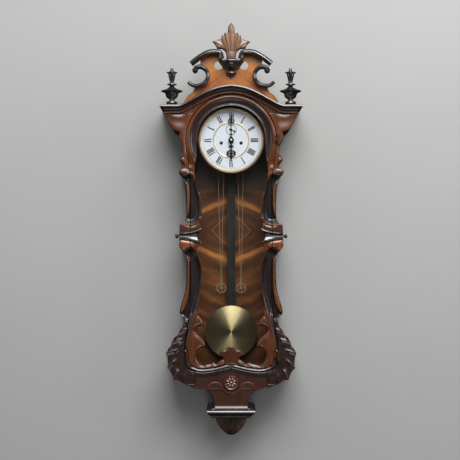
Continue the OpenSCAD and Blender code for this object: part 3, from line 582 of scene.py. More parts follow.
def feed(tree, target, inputs):
    """Links a node's inputs to signals and sets the others to plain values."""
    for key, value in inputs.items():
        if isinstance(value, Signal):
            tree.links.new(value.socket, target.inputs[key])
        else:
            target.inputs[key].default_value = value


def node(tree, kind, inputs=None, out=0, **settings):
    """Adds a shader node and gives one of its outputs, or several where out is a tuple."""
    made = tree.nodes.new("ShaderNode" + kind)
    for key, value in settings.items():
        setattr(made, key, value)
    feed(tree, made, inputs or {})
    if isinstance(out, tuple):
        return [Signal(tree, made.outputs[key]) for key in out]
    return Signal(tree, made.outputs[out])


def noise(coords, scale, detail, out="Fac", **inputs):
    return node(coords.tree, "TexNoise", {"Vector": coords, "Scale": scale, "Detail": detail,
                                          **inputs}, out)


def split(coords):
    return node(coords.tree, "SeparateXYZ", {0: coords}, (0, 1, 2))


def combine(x, y=0.0, z=0.0):
    return node(x.tree, "CombineXYZ", {0: x, 1: y, 2: z})


def rgba(colour):
    return colour if isinstance(colour, Signal) else (*colour, 1)


def scaled(colour, by):
    return tuple(min(c * by, 1) for c in colour)


def mix(factor, a, b):
    return node(factor.tree, "Mix", {0: factor, 6: rgba(a), 7: rgba(b)}, 2, data_type="RGBA")


def map_range(value, source, target, shape="LINEAR"):
    return node(value.tree, "MapRange", {"Value": value, "From Min": source[0],
                                         "From Max": source[1], "To Min": target[0],
                                         "To Max": target[1]}, interpolation_type=shape)


def ramp(factor, stops):
    made = factor.tree.nodes.new("ShaderNodeValToRGB")
    feed(factor.tree, made, {0: factor})
    while len(made.color_ramp.elements) < len(stops):
        made.color_ramp.elements.new(0.5)
    for element, (position, colour) in zip(made.color_ramp.elements, stops):
        element.position = position
        element.color = rgba(colour)
    return Signal(factor.tree, made.outputs[0])


def bump(height, strength, distance):
    return node(height.tree, "Bump", {"Height": height, "Strength": strength,
                                      "Distance": distance})


def new_group(name, numbers):
    """A node group that takes a vector and some numbers, and the signals that these give."""
    tree = bpy.data.node_groups.new(name, "ShaderNodeTree")
    tree.interface.new_socket("Vector", in_out="INPUT", socket_type="NodeSocketVector")
    for label, value in numbers.items():
        socket = tree.interface.new_socket(label, in_out="INPUT", socket_type="NodeSocketFloat")
        socket.default_value = value
    start = tree.nodes.new("NodeGroupInput")
    return tree, [Signal(tree, start.outputs[label]) for label in ("Vector", *numbers)]


def close_group(tree, outputs):
    for label in outputs:
        tree.interface.new_socket(label, in_out="OUTPUT", socket_type="NodeSocketFloat")
    feed(tree, tree.nodes.new("NodeGroupOutput"), outputs)
    return tree


def make_wood_grain():
    """Long streaks along Z with soft cross figure and fine dark pores."""
    tree, (lay, streaks, figure) = new_group("wood_grain", {"Streaks": 60.0, "Figure": 0.4})
    x, y, z = split(lay)
    wander = noise(lay, 7.0, 2.0, "Color").vector("MULTIPLY", (0.03, 0.03, 0.01))
    streak = noise(combine(x, y, z * 0.07).vector("ADD", wander), streaks, 7.0, Roughness=0.62)
    cross = (noise(lay, 28.0, 3.0, Distortion=0.8) - 0.5) * figure
    grain = streak.math("ADD", cross, clamp=True).excess(0.3, 2.4)
    pores = noise(combine(x, y, z * 0.05), 1400.0, 2.0).excess(0.56, 7.0)
    return close_group(tree, {"Grain": grain, "Pores": pores, "Height": grain * 0.3 - pores})


def make_wear():
    """Dust on what faces up, rubbed edges, and slow patches of handling."""
    tree, (lay, scale) = new_group("age_and_wear", {"Scale": 18.0})
    patches = noise(lay, scale, 5.0).excess(0.35, 2.6)
    normal, pointed = node(tree, "NewGeometry", out=("Normal", "Pointiness"))
    edges = pointed.excess(0.53, 9.0) * patches
    dust = split(normal)[2].excess(0.7, 3.0) * patches
    return close_group(tree, {"Patches": patches, "Edges": edges, "Dust": dust})


GRAIN = make_wood_grain()
WEAR = make_wear()


def wear(coords, scale=18.0):
    return node(coords.tree, "Group", {"Vector": coords, "Scale": scale},
                ("Patches", "Edges", "Dust"), node_tree=WEAR)


# ---------------------------------------------------------------- materials

def new_material(name):
    material = bpy.data.materials.new(name)
    material.use_nodes = True
    return material, node(material.node_tree, "TexCoord", out="Object")


def surface(material, colour, roughness, normal=None, more=None):
    """Feeds the material's shader; the plain values in more are the same all over it."""
    tree = material.node_tree
    inputs = {"Base Color": colour, "Roughness": roughness, **(more or {})}
    if normal:
        inputs["Normal"] = normal
    feed(tree, tree.nodes["Principled BSDF"], inputs)
    return material


def wood(name, dark, light, stain_and_shade_colour=None, warm_colour=None, roughness=0.24, coat=0.55,
         streaks=60.0, rotation=None, relief=0.10, figure=0.4, edge_colour=None, worn=0.2,
         contrast=0.7, mirrored=False):
    """Polished wood. The two tint attributes of a carved piece mix their colours in: the dark one
    is stain together with painted shade, the warm one warmer wood together with painted highlights.
    """
    material, coords = new_material(name)
    lay = coords
    if mirrored:
        x, y, z = split(coords)
        lay = combine(abs(x), y, z)
    if rotation:
        lay = node(lay.tree, "Mapping", {"Vector": lay, "Rotation": rotation})
    grain, pores, height = node(
        lay.tree, "Group", {"Vector": lay, "Streaks": streaks, "Figure": figure},
        ("Grain", "Pores", "Height"), node_tree=GRAIN)
    patches, edges, dust = wear(coords)
    middle = tuple((a + b) / 2 for a, b in zip(dark, light))
    ends = [tuple(m + (c - m) * contrast for c, m in zip(end, middle)) for end in (dark, light)]
    colour = ramp(grain, [(0.0, ends[0]), (0.5, middle), (1.0, ends[1])])
    # the dark tint is stain and painted shade, the warm tint warmer wood and painted highlights
    for label, tint, low, high in (("warm", warm_colour, 0.75, 1.25),
                                   ("stain_and_shade", stain_and_shade_colour, 0.7, 1.4)):
        if tint:
            share = node(coords.tree, "Attribute", out="Fac", attribute_name=label)
            colour = mix(share, colour, mix(grain, scaled(tint, low), scaled(tint, high)))
    colour = mix(pores * 0.35, colour, scaled(dark, 0.25))
    colour = mix(edges * worn, colour, edge_colour or scaled(light, 1.8))
    colour = mix(dust * 0.05, colour, (0.32, 0.3, 0.27))
    return surface(material, colour, patches * 0.10 + roughness + dust * 0.2,
                   bump(height, relief, 0.0003), {"Coat Weight": coat, "Coat Roughness": 0.16})


def metal(name, colour, tarnish, roughness, amount=0.5, relief=0.05, metallic=1.0):
    """Metal with tarnish in patches, rubbed edges and fine scratches."""
    material, coords = new_material(name)
    patches, edges, _ = wear(coords, 22.0)
    colour = mix(patches * amount, colour, tarnish)
    colour = mix(edges * 0.5, colour, scaled(tarnish, 1.5))
    scratch = noise(coords, 900.0, 3.0)
    return surface(material, colour, scratch * 0.16 + (roughness - 0.08) + patches * 0.1,
                   bump(scratch, relief, 0.0002), {"Metallic": metallic})


def make_bob_brass():
    """Lacquered olive brass turned in fine rings about the middle of the bob."""
    material, coords = new_material("ring_turned_bob_brass")
    centred = node(coords.tree, "Mapping", {"Vector": coords, "Location": (0, 0, -BOB_Z * MM)})
    radius = centred.vector("MULTIPLY", (1, 0, 1)).vector("LENGTH", out="Value")
    rings = noise(combine(radius), 1900.0, 4.0, Roughness=0.7)
    colour = mix(rings, (0.44, 0.37, 0.19), (0.58, 0.49, 0.27))
    colour = mix(wear(coords, 16.0)[0] * 0.25, colour, (0.35, 0.28, 0.14))
    tangent = node(coords.tree, "Tangent", direction_type="RADIAL", axis="Y")
    return surface(material, colour, rings * 0.10 + 0.36, bump(rings, 0.10, 0.0002),
                   {"Metallic": 1.0, "Anisotropic": 0.88, "Anisotropic Rotation": 0.25,
                    "Tangent": tangent})


def make_veneer():
    """Quartered veneer: bands that meet on the centre line and part from the diamond inlay."""
    material, coords = new_material("quartered_walnut_veneer")
    diamond_z, half_width, half_height = -0.433, 0.066, 0.062
    x, _, z = split(coords)
    side, off = abs(x), abs(z - diamond_z)
    wander = noise(combine(side, off), 11.0, 3.0)
    run = off + side * 0.42 + (wander - 0.5) * 0.030
    lay = combine(run, (side - off) * 0.16)
    bands, fine = noise(lay, 34.0, 4.0, Roughness=0.55), noise(lay, 420.0, 3.0)
    bright = map_range(abs(run - 0.107), (0.016, 0.003), (0.0, 1.0), "SMOOTHSTEP")
    tone = bands * 0.55 + fine * 0.22 + bright * 0.22
    tone = tone - map_range(run, (0.085, 0.045), (0.0, 0.07))
    colour = ramp(tone, [(0.24, (0.040, 0.014, 0.005)), (0.38, (0.120, 0.040, 0.010)),
                         (0.50, (0.270, 0.094, 0.022)), (0.66, (0.54, 0.205, 0.042))])
    # painted shadow of the dial: the veneer turns dark above, under the dial
    lit = map_range(z, (-0.255, -0.318), (0.06, 1.0), "SMOOTHSTEP")
    colour = mix(lit, (0.085, 0.062, 0.050), colour)
    # the diamond and its line
    reach = side / half_width + off / half_height
    colour = mix(reach.math("LESS_THAN", 1.0) * 0.18, colour, (0.30, 0.105, 0.028))
    colour = mix(abs(reach - 1.0).math("LESS_THAN", 0.026) * 0.6, colour, (0.42, 0.19, 0.065))
    return surface(material, colour, tone * 0.15 + 0.34, bump(fine, 0.06, 0.0003),
                   {"Coat Weight": 0.2, "Coat Roughness": 0.2})


def make_enamel():
    material, coords = new_material("fired_white_enamel")
    ripple = noise(coords, 40.0, 3.0)
    dots = noise(coords, 900.0, 1.0).math("GREATER_THAN", 0.80)
    colour = mix(ripple, (0.70, 0.75, 0.81), (0.78, 0.83, 0.89))
    return surface(material, mix(dots * 0.3, colour, (0.3, 0.27, 0.2)), ripple * 0.08 + 0.12,
                   bump(ripple, 0.08, 0.0006), {"Coat Weight": 0.5})


def make_ink():
    material, coords = new_material("black_dial_enamel")
    speck = noise(coords, 600.0, 2.0)
    return surface(material, mix(speck, (0.006, 0.006, 0.007), (0.02, 0.02, 0.02)),
                   speck * 0.1 + 0.22)


def make_gut():
    material, coords = new_material("twisted_gut")
    x, _, z = split(coords)
    strand = (z * 2600.0 + x * 1800.0).math("SINE") * 0.5 + 0.5
    return surface(material, mix(strand, (0.20, 0.15, 0.09), (0.44, 0.36, 0.25)),
                   strand * 0.15 + 0.35, bump(strand, 0.5, 0.0002))


def make_glass():
    material, coords = new_material("old_window_glass")
    sheen = node(coords.tree, "LayerWeight", {"Blend": 0.35}, "Fresnel")
    smear = noise(coords, 30.0, 5.0)
    return surface(material, mix(smear, (0.02, 0.03, 0.03), (0.05, 0.06, 0.06)), smear * 0.06,
                   bump(noise(coords, 8.0, 1.0), 0.1, 0.002), {"Alpha": sheen * 0.3 + 0.006})


RED_BROWN = ((0.055, 0.013, 0.0030), (0.125, 0.033, 0.0070))
ALONG_X = (0, math.pi / 2, 0)
SLANTING = (0, math.pi / 4, 0)
carved_walnut = wood("carved_walnut_polish", *RED_BROWN, stain_and_shade_colour=(0.012, 0.007, 0.007),
                     warm_colour=(0.27, 0.082, 0.015), roughness=0.26, coat=0.5)
plain_walnut = wood("plain_walnut_polish", *RED_BROWN, roughness=0.28, coat=0.4)
orange_walnut = wood("orange_walnut_polish", (0.20, 0.054, 0.006), (0.42, 0.145, 0.015),
                     roughness=0.30, coat=0.35, rotation=SLANTING, streaks=42.0, figure=0.15,
                     contrast=1.7, mirrored=True)
red_fillet = wood("red_brown_fillet", (0.085, 0.021, 0.010), (0.20, 0.050, 0.020),
                  roughness=0.26, coat=0.5, rotation=ALONG_X)
brown_black = wood("brown_black_cornice", (0.022, 0.009, 0.007), (0.050, 0.019, 0.014),
                   roughness=0.26, rotation=ALONG_X, worn=0.1)
leaf_walnut = wood("leaf_walnut", (0.095, 0.045, 0.022), (0.27, 0.135, 0.070),
                   stain_and_shade_colour=(0.014, 0.008, 0.006), warm_colour=(0.30, 0.19, 0.155),
                   roughness=0.42, coat=0.15, streaks=90.0)
dark_walnut = wood("dark_walnut_polish", (0.075, 0.038, 0.026), (0.16, 0.088, 0.062),
                   stain_and_shade_colour=(0.012, 0.008, 0.006), roughness=0.40, coat=0.25, streaks=90.0)
ebonised = wood("ebonised_polish", (0.010, 0.009, 0.009), (0.024, 0.021, 0.020), roughness=0.18,
                coat=1.0, relief=0.05, edge_colour=(0.08, 0.06, 0.05), worn=0.25)
rod_wood = wood("ebonised_rod", (0.009, 0.009, 0.007), (0.022, 0.021, 0.017), roughness=0.4,
                coat=0.15, streaks=120.0, relief=0.05)
brass = metal("aged_brass", (0.55, 0.42, 0.20), (0.30, 0.21, 0.10), 0.30)
dull_brass = metal("dull_pulley_brass", (0.62, 0.50, 0.30), (0.34, 0.25, 0.13), 0.36, 0.8)
bezel_brass = metal("polished_bezel_brass", (0.95, 0.80, 0.53), (0.74, 0.58, 0.33), 0.34, 0.35)
bronze = metal("brown_bronze", (0.36, 0.22, 0.17), (0.13, 0.070, 0.050), 0.30, 0.6)
dark_bronze = metal("dark_hinge_bronze", (0.085, 0.045, 0.026), (0.040, 0.020, 0.012), 0.42,
                    metallic=0.8)
steel = metal("plain_steel", (0.50, 0.50, 0.49), (0.26, 0.24, 0.22), 0.3)
iron = metal("painted_iron", (0.035, 0.034, 0.033), (0.06, 0.035, 0.022), 0.5, relief=0.25,
             metallic=0.6)
blacked_steel = metal("blacked_steel", (0.006, 0.006, 0.007), (0.016, 0.014, 0.013), 0.30,
                      metallic=0.3)
bob_brass, veneer, enamel = make_bob_brass(), make_veneer(), make_enamel()
ink, gut, glass = make_ink(), make_gut(), make_glass()

NODE_MATERIALS = {
    veneer: "backboard",
    plain_walnut: "head_top head_cheeks upper_sides waist_blocks lower_sides apron door_frame "
                  "door_moulding door_tracery",
    dark_walnut: "skirts drop_bud",
    orange_walnut: "crest_board",
    red_fillet: "cornice_fillet",
    brown_black: "cornice_hollow",
    leaf_walnut: "crest_leaf",
    ebonised: "crest_mouldings crest_bracket finials base_shelf door_turnings waist_turnings",
    bezel_brass: "dial_rings",
    bronze: "rosette",
    dark_bronze: "case_hinges door_hinges",
    brass: "dial_plate back_plate front_plate rating_nut centre_wheel third_wheel escape_wheel "
           "time_great_wheel minute_wheel hour_wheel strike_great_wheel pin_wheel fly",
    dull_brass: "time_pulley_frame time_pulley_wheel strike_pulley_frame strike_pulley_wheel",
    bob_brass: "pendulum_bob",
    enamel: "dial_enamel",
    glass: "door_glass",
    gut: "time_line strike_line",
    rod_wood: "pendulum_rod",
    steel: "hanger_plate suspension_spring anchor_and_crutch hammer",
    iron: "movement_bracket",
    blacked_steel: "gong minute_hand hour_hand seconds_hand time_drum strike_drum",
}
for material, names in NODE_MATERIALS.items():
    for name in names.split():
        if not nodes[name].material_slots:
            nodes[name].data.materials.append(material)
        for slot in nodes[name].material_slots:
            slot.material = material


# ---------------------------------------------------------------- the relief of the case

SIDE_FRONT = 155.0

# Outlines of the carving on the right half, as (x, z) points in mm
UPPER_HOLLOW = closed_smooth([
    (122, -261), (133, -255.5), (143, -259), (154, -262), (185, -262), (185, -402), (154, -402),
    (147, -408), (133, -413), (118, -409.5), (108, -403), (101.8, -392), (99.2, -376),
    (100.2, -345), (103.2, -314), (108.8, -287), (115, -272)])
UPPER_STRIP = [(151, -269.5), (146, -273), (140, -278), (135, -285), (131.8, -295), (130.6, -314),
               (130.6, -350), (132, -370), (134.5, -382), (140, -391), (146, -396.5),
               (146, -399), (144.7, -372), (144, -344), (144.6, -316), (147, -288), (150, -275)]
SHOULDER = closed_smooth([
    (169, -247), (168, -240), (161, -235.5), (150, -234.5), (141, -238), (132, -245), (121, -254),
    (133, -254.8), (143, -258), (153, -260.5), (163, -258), (168, -253)])
CHEEK_CURL = closed_smooth([(167, -208), (162, -203), (155, -200), (149, -203), (147, -210),
                            (150, -216), (157, -219), (164, -214)])
UPPER_BLOCK = [(99, -418), (105, -411), (112, -417), (130, -421.5), (146, -416), (153, -408),
               (166, -415), (168, -430), (166, -441), (150, -440.5), (125, -438), (108, -433)]
LOWER_BLOCK = closed_smooth([
    (164, -463), (148, -464), (126, -468), (117, -478), (118.5, -488), (124, -490),
    (132, -488), (143, -492), (153, -500), (162, -497), (167, -486), (168, -473)])
LOWER_HOLLOW = closed_smooth([
    (111, -503), (119, -493.5), (130, -489.5), (141, -493.5), (152, -503), (175, -505),
    (178, -700), (160, -716), (150, -724), (136, -728), (126, -718), (118.5, -700), (111.5, -678),
    (106, -660), (101.0, -640), (97.5, -618), (95.4, -590), (95.2, -565), (98.4, -540),
    (104, -521)])
LOWER_STRIP = [(149, -510), (142, -515), (134, -522), (130.6, -532), (130.6, -560), (130.6, -600),
               (132, -625), (135, -650), (140, -672), (148, -689), (156, -698), (163, -702),
               (165, -692), (158, -664), (151, -640), (147, -626), (144, -600), (143, -571),
               (143, -524), (146, -512)]
HOLLOWS, STRIPS = (UPPER_HOLLOW, LOWER_HOLLOW), (UPPER_STRIP, LOWER_STRIP)
RIDGES = [[(148, -716), (138, -706), (130, -694)], [(153, -733), (145, -725), (134, -718)],
          [(169, -764), (159, -756.5), (146, -750)], [(190, -792), (176, -786), (160, -782)],
          [(209, -828), (190, -820.5), (170, -814)], [(205, -875), (190, -859), (172, -843)],
          [(184, -912), (173, -890), (160, -868)], [(151, -926), (150, -905), (145, -884)]]
SCALLOPS = [tips[0] for tips in RIDGES]
DOOR_BOTTOM = [(0, -869), (51, -881), (86, -886), (110, -884), (131, -876), (144, -859),
               (148, -824)]
UNDER_DOOR = [(x, z - 17 - 0.03 * x) for x, z in DOOR_BOTTOM[:5]] + [(150, -874)]
APRON_BOARD = [(0, -958), (10, -957), (20, -952.5), (29, -945), (40, -942), (62, -943.5),
               (79, -945), (108, -941), (123, -938), (135, -931), (152, -926), (152, -860),
               (0, -860)]
ARC_CENTRE, ARC_SIZE = (52, -940), (22, 20)
APRON_ARC = arc_line(ARC_CENTRE, ARC_SIZE, 0, 180, 12)
PALMETTE = closed_smooth([
    (-16, -815), (-9, -805), (0, -802), (9, -805), (16, -815), (30, -818), (38, -827), (28, -838),
    (25, -848), (22, -862), (0, -866), (-22, -862), (-25, -848), (-28, -838), (-38, -827),
    (-30, -818)])

# Half widths at a height, as (z, x) rows: the case, the door, and the red of the door's foot
SILHOUETTE = [(-59, 211), (-80, 204), (-111, 186), (-119, 166), (-141, 166), (-163, 156),
              (-186, 153), (-208, 165), (-219, 155), (-232, 155), (-243, 168)]
DOOR_SIDE = [(-142, 144), (-154, 143.8), (-190, 141), (-235, 133), (-262, 130), (-660, 130),
             (-705, 134), (-750, 141), (-796, 147), (-824, 148), (-859, 144), (-876, 131)]
RED_LIMIT = [(-690, 119), (-705, 120), (-720, 124), (-749, 131), (-777, 140), (-800, 146),
             (-831, 151), (-880, 153)]


def strongest(*tints):
    """The highest of several tints at each point."""
    return np.max(np.broadcast_arrays(*tints), axis=0)


def from_dial(x, z):
    return np.hypot(x, z - DIAL_Z)


def ridge_half(x):
    """Half the height of the ebonised hollow at the waist, which widens towards the glass."""
    return 10.5 + 13.6 * (np.clip(166 - x, 0, 90) / 71) ** 2.2


def side_form(x, z):
    """The carved side from the shoulder down to the skirts, on the case and the door alike."""
    y = np.full_like(x, SIDE_FRONT)
    for hollow, strip in zip(HOLLOWS, STRIPS):
        # the hollow, the strip that stands in it, and two thin beads round its foot
        inner = depth_in(x, z, hollow)
        y -= 3.5 * rounded(inner / 13) + 8.5 * smoothstep(inner / 15)
        y += 14 * rounded(depth_in(x, z, strip) / 7)
        lip = np.where((z < -392) & (z > -425), -inner, -1)
        y += 1.8 * roll(lip / 3.6) * (lip > 0) * (lip < 3.6)
        y += 1.2 * roll((lip - 3.9) / 3.0) * (lip > 3.9) * (lip < 6.9)
    for outline, lift, width in ((SHOULDER, 6.0, 10), (UPPER_BLOCK, 2.2, 8),
                                 (LOWER_BLOCK, 6.5, 13)):
        y += lift * rounded(depth_in(x, z, outline) / width)
    # the bed of the ebonised hollow
    bed = np.abs(z - WAIST_Z) < ridge_half(x) * 0.95
    return np.where(bed & (x < 169), np.minimum(y, 146.5), y)


def flutes(x, z):
    """0 on the ridges between the scallops, 1 in the middle of each."""
    far = np.sort(np.stack([distance_to(x, z, ridge) for ridge in RIDGES]), axis=0)
    return np.sin(np.pi * far[0] / (far[0] + far[1] + 1e-6)) ** 0.6


def lunette_floor(x):
    return -57.6 - 11.4 * (1 - ((x - 167.8) / 30.2) ** 2)


def lunette_depth(x, z):
    """How far a point is above the floor of the lunette under the end of the cornice."""
    return np.where(np.abs(x - 167.8) < 30, z - lunette_floor(x), -1)


def in_apron_arc(x, z):
    return np.hypot((x - ARC_CENTRE[0]) / ARC_SIZE[0], (z - ARC_CENTRE[1]) / ARC_SIZE[1]) < 1


def case_height(x, z, d):
    y = side_form(x, z)
    # cheeks: a soft swelling beside the arch of the door, and the curl low on its outline
    edge = by_height(SILHOUETTE, z)
    across = np.clip((x - 146) / np.maximum(edge - 146, 4), 0, 1)
    fade = smoothstep((-80 - z) / 30) * smoothstep((z + 236) / 20)
    y += fade * 2.5 * roll(across)
    y += 4.5 * rounded(depth_in(x, z, CHEEK_CURL) / 7)
    y -= 3.0 * fade * mound(z + 226, 5.0) * smoothstep((x - 146) / 6)
    lunette = lunette_depth(x, z)
    y -= np.where(lunette > 0, 1.2 + 0.24 * np.clip(lunette, 0, 12), 0)
    # skirts: a dark valley beside the door, then flutes between sharp ridges
    skirt = smoothstep((-712 - z) / 10)
    reach = distance_to(x, z, SCALLOPS)
    near = 1 - smoothstep((reach - 20) / 24)
    y -= skirt * 3.8 * flutes(x, z) * (0.12 + 0.88 * near)
    valley = smoothstep((reach - 18) / 16) * smoothstep((z + 905) / 30)
    y -= skirt * 4.5 * valley
    return y


def apron_height(x, z, d):
    board = depth_in(x, z, APRON_BOARD)
    y = 149.0 + 4.2 * rounded(board / 4.0)
    arc = distance_to(x, z, APRON_ARC)
    y += 1.2 * mound(arc, 1.1) * (board > 0)
    y -= in_apron_arc(x, z) * (board > 2) * smoothstep(arc / 3)
    # the hollow neck and the flare at its foot
    neck = np.clip((-990 - z) / 15, 0, 1)
    y += 11 * (1 - np.sqrt(1 - neck ** 2 * 0.98))
    return y


def case_stain_and_shade(x, z, d):
    # stained dark: the hollows and the skirts; darker too on the upper block, in the lunette under
    # the cornice and in the notch of the outline
    stain_and_shade = smoothstep((depth_in_either(x, z, HOLLOWS) + 0.5) / 2.5)
    strip = smoothstep((depth_in_either(x, z, STRIPS) - 1.0) / 4)
    # painted shade: the lower side of the shoulder lobe, and a dark line under it
    low_side = smoothstep((-247 - z + (x - 145) * 0.2) / 8)
    brow = distance_to(x, z, [(124, -256), (134, -256), (144, -260), (154, -262)])
    notch = (z < -219) & (z > -236) & (x > 148)
    return strongest(stain_and_shade * (1 - 0.93 * strip), 0.9 * (lunette_depth(x, z) > -0.8),
                     0.9 * smoothstep((-704 - z) / 14),
                     0.75 * smoothstep(depth_in(x, z, SHOULDER) / 2) * low_side,
                     smoothstep((4 - brow) / 3), 0.4 * notch,
                     0.45 * smoothstep(depth_in(x, z, UPPER_BLOCK) / 2))


def case_warm(x, z, d):
    # painted light: the strips get a lighter, warmer tint for their lit look; the lower block and
    # the wood beside the ring over the dial are warmer too
    return strongest(0.22 * smoothstep((depth_in_either(x, z, STRIPS) - 2) / 4),
                     0.38 * smoothstep(depth_in(x, z, LOWER_BLOCK) / 4),
                     0.25 * smoothstep((156 - from_dial(x, z)) / 8) * (z > -230))


def apron_stain_and_shade(x, z, d):
    # painted shadow: a dark band under the door's bottom bead, and painted shade towards the seam
    # at the sides; the board is darkened overall and the neck's flare is stained dark
    return strongest(0.62, smoothstep((z - by_width(UNDER_DOOR, x) + 7) / 9),
                     0.93 * smoothstep((x - 100) / 15) * smoothstep((z + 938) / 8),
                     0.8 * smoothstep((-988 - z) / 5))


def apron_painted_highlights(x, z, d):
    # painted highlights: lighter lines along the carved arcs and along the board's lower edge under
    # the rosette
    board = depth_in(x, z, APRON_BOARD)
    edge = mound(board - 2.5, 2) * (x < 60) * (z < -935)
    return strongest(mound(distance_to(x, z, APRON_ARC), 1.4) * (board > 0), 0.7 * edge)


def ring_form(x, z):
    """Round the dial, from outside: roll, quirk, wide cove, bead and the seat of the bezel."""
    ring = from_dial(x, z)
    arch = 152 + 6.5 * rounded((ring - 132) / 4) - 0.44 * np.maximum(ring - 136, 0)
    cove = 156.0 - 7.0 * rounded((131 - ring) / 16)
    bead = DOOR_FRONT + 4.1 * rounded((ring - 107.9) / 1.6) - 0.49 * np.maximum(ring - 109.5, 0)
    quirk = 151.0
    return np.select([ring > 132, ring > 131, ring > 113.6], [arch, quirk, cove], bead)


def foot_form(x, z, d):
    """The pierced foot: a full swelling that falls off outwards, and a bead along the bottom."""
    y = 149.5 + 8.5 * rounded(d / 17)
    outward = (by_height(DOOR_SIDE, z) - x) / 15
    y -= 5.0 * (1 - rounded(outward))
    y -= 5.5 * smoothstep((x - by_height(RED_LIMIT, z) + 2) / 9)
    low = distance_to(x, z, DOOR_BOTTOM)
    y = np.where(low < 11, 150.5 + (y - 150.5) * smoothstep((low - 9) / 4), y)
    bead = 155.6 - 5.5 * (1 - rounded(low / 2.2)) - 0.5 * np.clip(low - 2.2, 0, 6.3)
    y = np.where(low < 8.5, bead, y)
    palmette = depth_in(x, z, PALMETTE)
    angle = np.arctan2(x, z + 905)
    grooves = 0.9 * np.abs(np.cos(angle * 17)) ** 3
    return np.where(palmette > 0, 151 + 5.0 * rounded(palmette / 4.5) - grooves, y)


def door_height(x, z, d):
    y = side_form(x, z)
    y += 0.8 * smoothstep((3.0 - d) / 1.5) * (z < -236) * (z > -430)
    y += (foot_form(x, z, d) - y) * smoothstep((-684 - z) / 26)
    return y + (ring_form(x, z) - y) * smoothstep((z + 234) / 22)


def door_stain_and_shade(x, z, d):
    ring = from_dial(x, z)
    cove = ((ring < 131.8) & (ring > 107)) * smoothstep((z + 248) / 16)
    hollow = depth_in_either(x, z, HOLLOWS)
    rim = ((z < -320) & (z > -404)) | ((z < -505) & (z > -690))
    outside = smoothstep((x - by_height(RED_LIMIT, z) + 9) / 12) * smoothstep((-690 - z) / 12)
    # painted shade: the door's outer edge goes dark towards the seam beside the case
    edge = smoothstep((x - by_height(DOOR_SIDE, z) + 12) / 10) * smoothstep((-700 - z) / 20)
    bottom = (distance_to(x, z, DOOR_BOTTOM) < 9) * (z < -840)
    return strongest(0.93 * cove, smoothstep((hollow + 2.0) / 2.5) * smoothstep((z + 722) / 14),
                     0.7 * rim * smoothstep((hollow + 12) / 3), 0.93 * outside, 0.93 * edge,
                     0.40 * smoothstep((-690 - z) / 60), 0.8 * bottom,
                     0.45 * smoothstep(depth_in(x, z, UPPER_BLOCK) / 2))


def door_warm(x, z, d):
    rim = smoothstep((4.0 - d) / 2) * (z < -236) * (z > -300)
    # painted glow: a warmer band down the middle of the red swelling of the foot
    glow = smoothstep((-715 - z) / 60) * mound(x - by_height(RED_LIMIT, z) + 16, 16.0)
    return strongest(0.35 * rim, 0.30 * glow * smoothstep((z + 885) / 25),
                     0.38 * smoothstep(depth_in(x, z, LOWER_BLOCK) / 4))


def off_door_foot(samples):
    """Edge points of the door frame: only the opening and the arch over the dial count."""
    x, z = np.abs(samples[:, 0]), samples[:, 1]
    outline = by_height(DOOR_SIDE, z) - x < 4.5
    bottom = z < by_width(DOOR_BOTTOM[:5], x) + 3
    return (z > -160) | ((z > -706.5) & ~outline & ~bottom)


def pierced_only(samples):
    """Edge points of the tracery along its pierced part."""
    x, z = np.abs(samples[:, 0]), samples[:, 1]
    limit = by_height([(-706, 101), (-712, 104), (-730, 114), (-750, 124), (-800, 130),
                       (-845, 127), (-866, 110), (-872, 84)], z)
    rim = z < by_width([(0, -855), (50, -866), (86, -870.5), (112, -864.5)], x)
    return (x < limit) & ~rim & ~((x > 100) & (z > -708))


def off_door_gap(samples):
    """Edge points of the case away from the seam beside the door."""
    x, z = np.abs(samples[:, 0]), samples[:, 1]
    gap = x - by_height(DOOR_SIDE, z)
    return ~((z < -160) & (gap < 3.0) & (gap > -1))


CASE_LINES = [UPPER_HOLLOW, UPPER_STRIP, SHOULDER, CHEEK_CURL, UPPER_BLOCK, LOWER_BLOCK,
              LOWER_HOLLOW, LOWER_STRIP, *RIDGES,
              [(x, lunette_floor(x)) for x in range(139, 199, 3)]]
APRON_LINES = [APRON_BOARD[:10], APRON_ARC,
               [(0, -992), (54, -992)], [(0, -999), (54, -999)], [(0, -1003), (54, -1003)]]
DOOR_LINES = ([arc_line((0, DIAL_Z), (r, r), -40, 90, 2)
               for r in (109.4, 111.3, 113.6, 131.5, 138, 143)]
              + [UPPER_HOLLOW, LOWER_HOLLOW, UPPER_BLOCK, LOWER_BLOCK])
FOOT_LINES = [DOOR_BOTTOM, [(x, z + 4.3) for x, z in DOOR_BOTTOM],
              [(x, z + 9) for x, z in DOOR_BOTTOM], PALMETTE]

for name in ("head_cheeks", "upper_sides", "waist_blocks", "lower_sides", "skirts"):
    piece = carve("carved_" + name, name, FRAME_FRONT, case_height, case_stain_and_shade, case_warm,
                  lines=CASE_LINES, sharp=off_door_gap)
    finish_piece(piece, carved_walnut, "case", "carved_walnut", name)
piece = carve("carved_apron", "apron", FRAME_FRONT, apron_height, apron_stain_and_shade, apron_painted_highlights,
              lines=APRON_LINES, sharp=off_door_gap)
finish_piece(piece, carved_walnut, "case", "carved_walnut", "apron")
piece = carve("carved_door", "door_frame", DOOR_FRONT, door_height, door_stain_and_shade, door_warm,
              sharp=off_door_foot, round_over=1.6, lines=DOOR_LINES + FOOT_LINES)
finish_piece(piece, carved_walnut, "door", "walnut", "door_frame", "door_moulding")
piece = carve("carved_door_foot", "door_tracery", FOOT_FRONT, door_height, door_stain_and_shade, door_warm,
              step=1.6, sharp=pierced_only, round_over=2.2, lines=FOOT_LINES + [LOWER_HOLLOW])
finish_piece(piece, carved_walnut, "door", "walnut", "door_tracery")


# ---------------------------------------------------------------- cornice

CORNICE = smooth_path([(0, 32), (34, 27), (65, 17), (92, 4), (114, -8), (136, -20), (154, -29),
                       (168, -33)])
CORNICE_END = 209.5


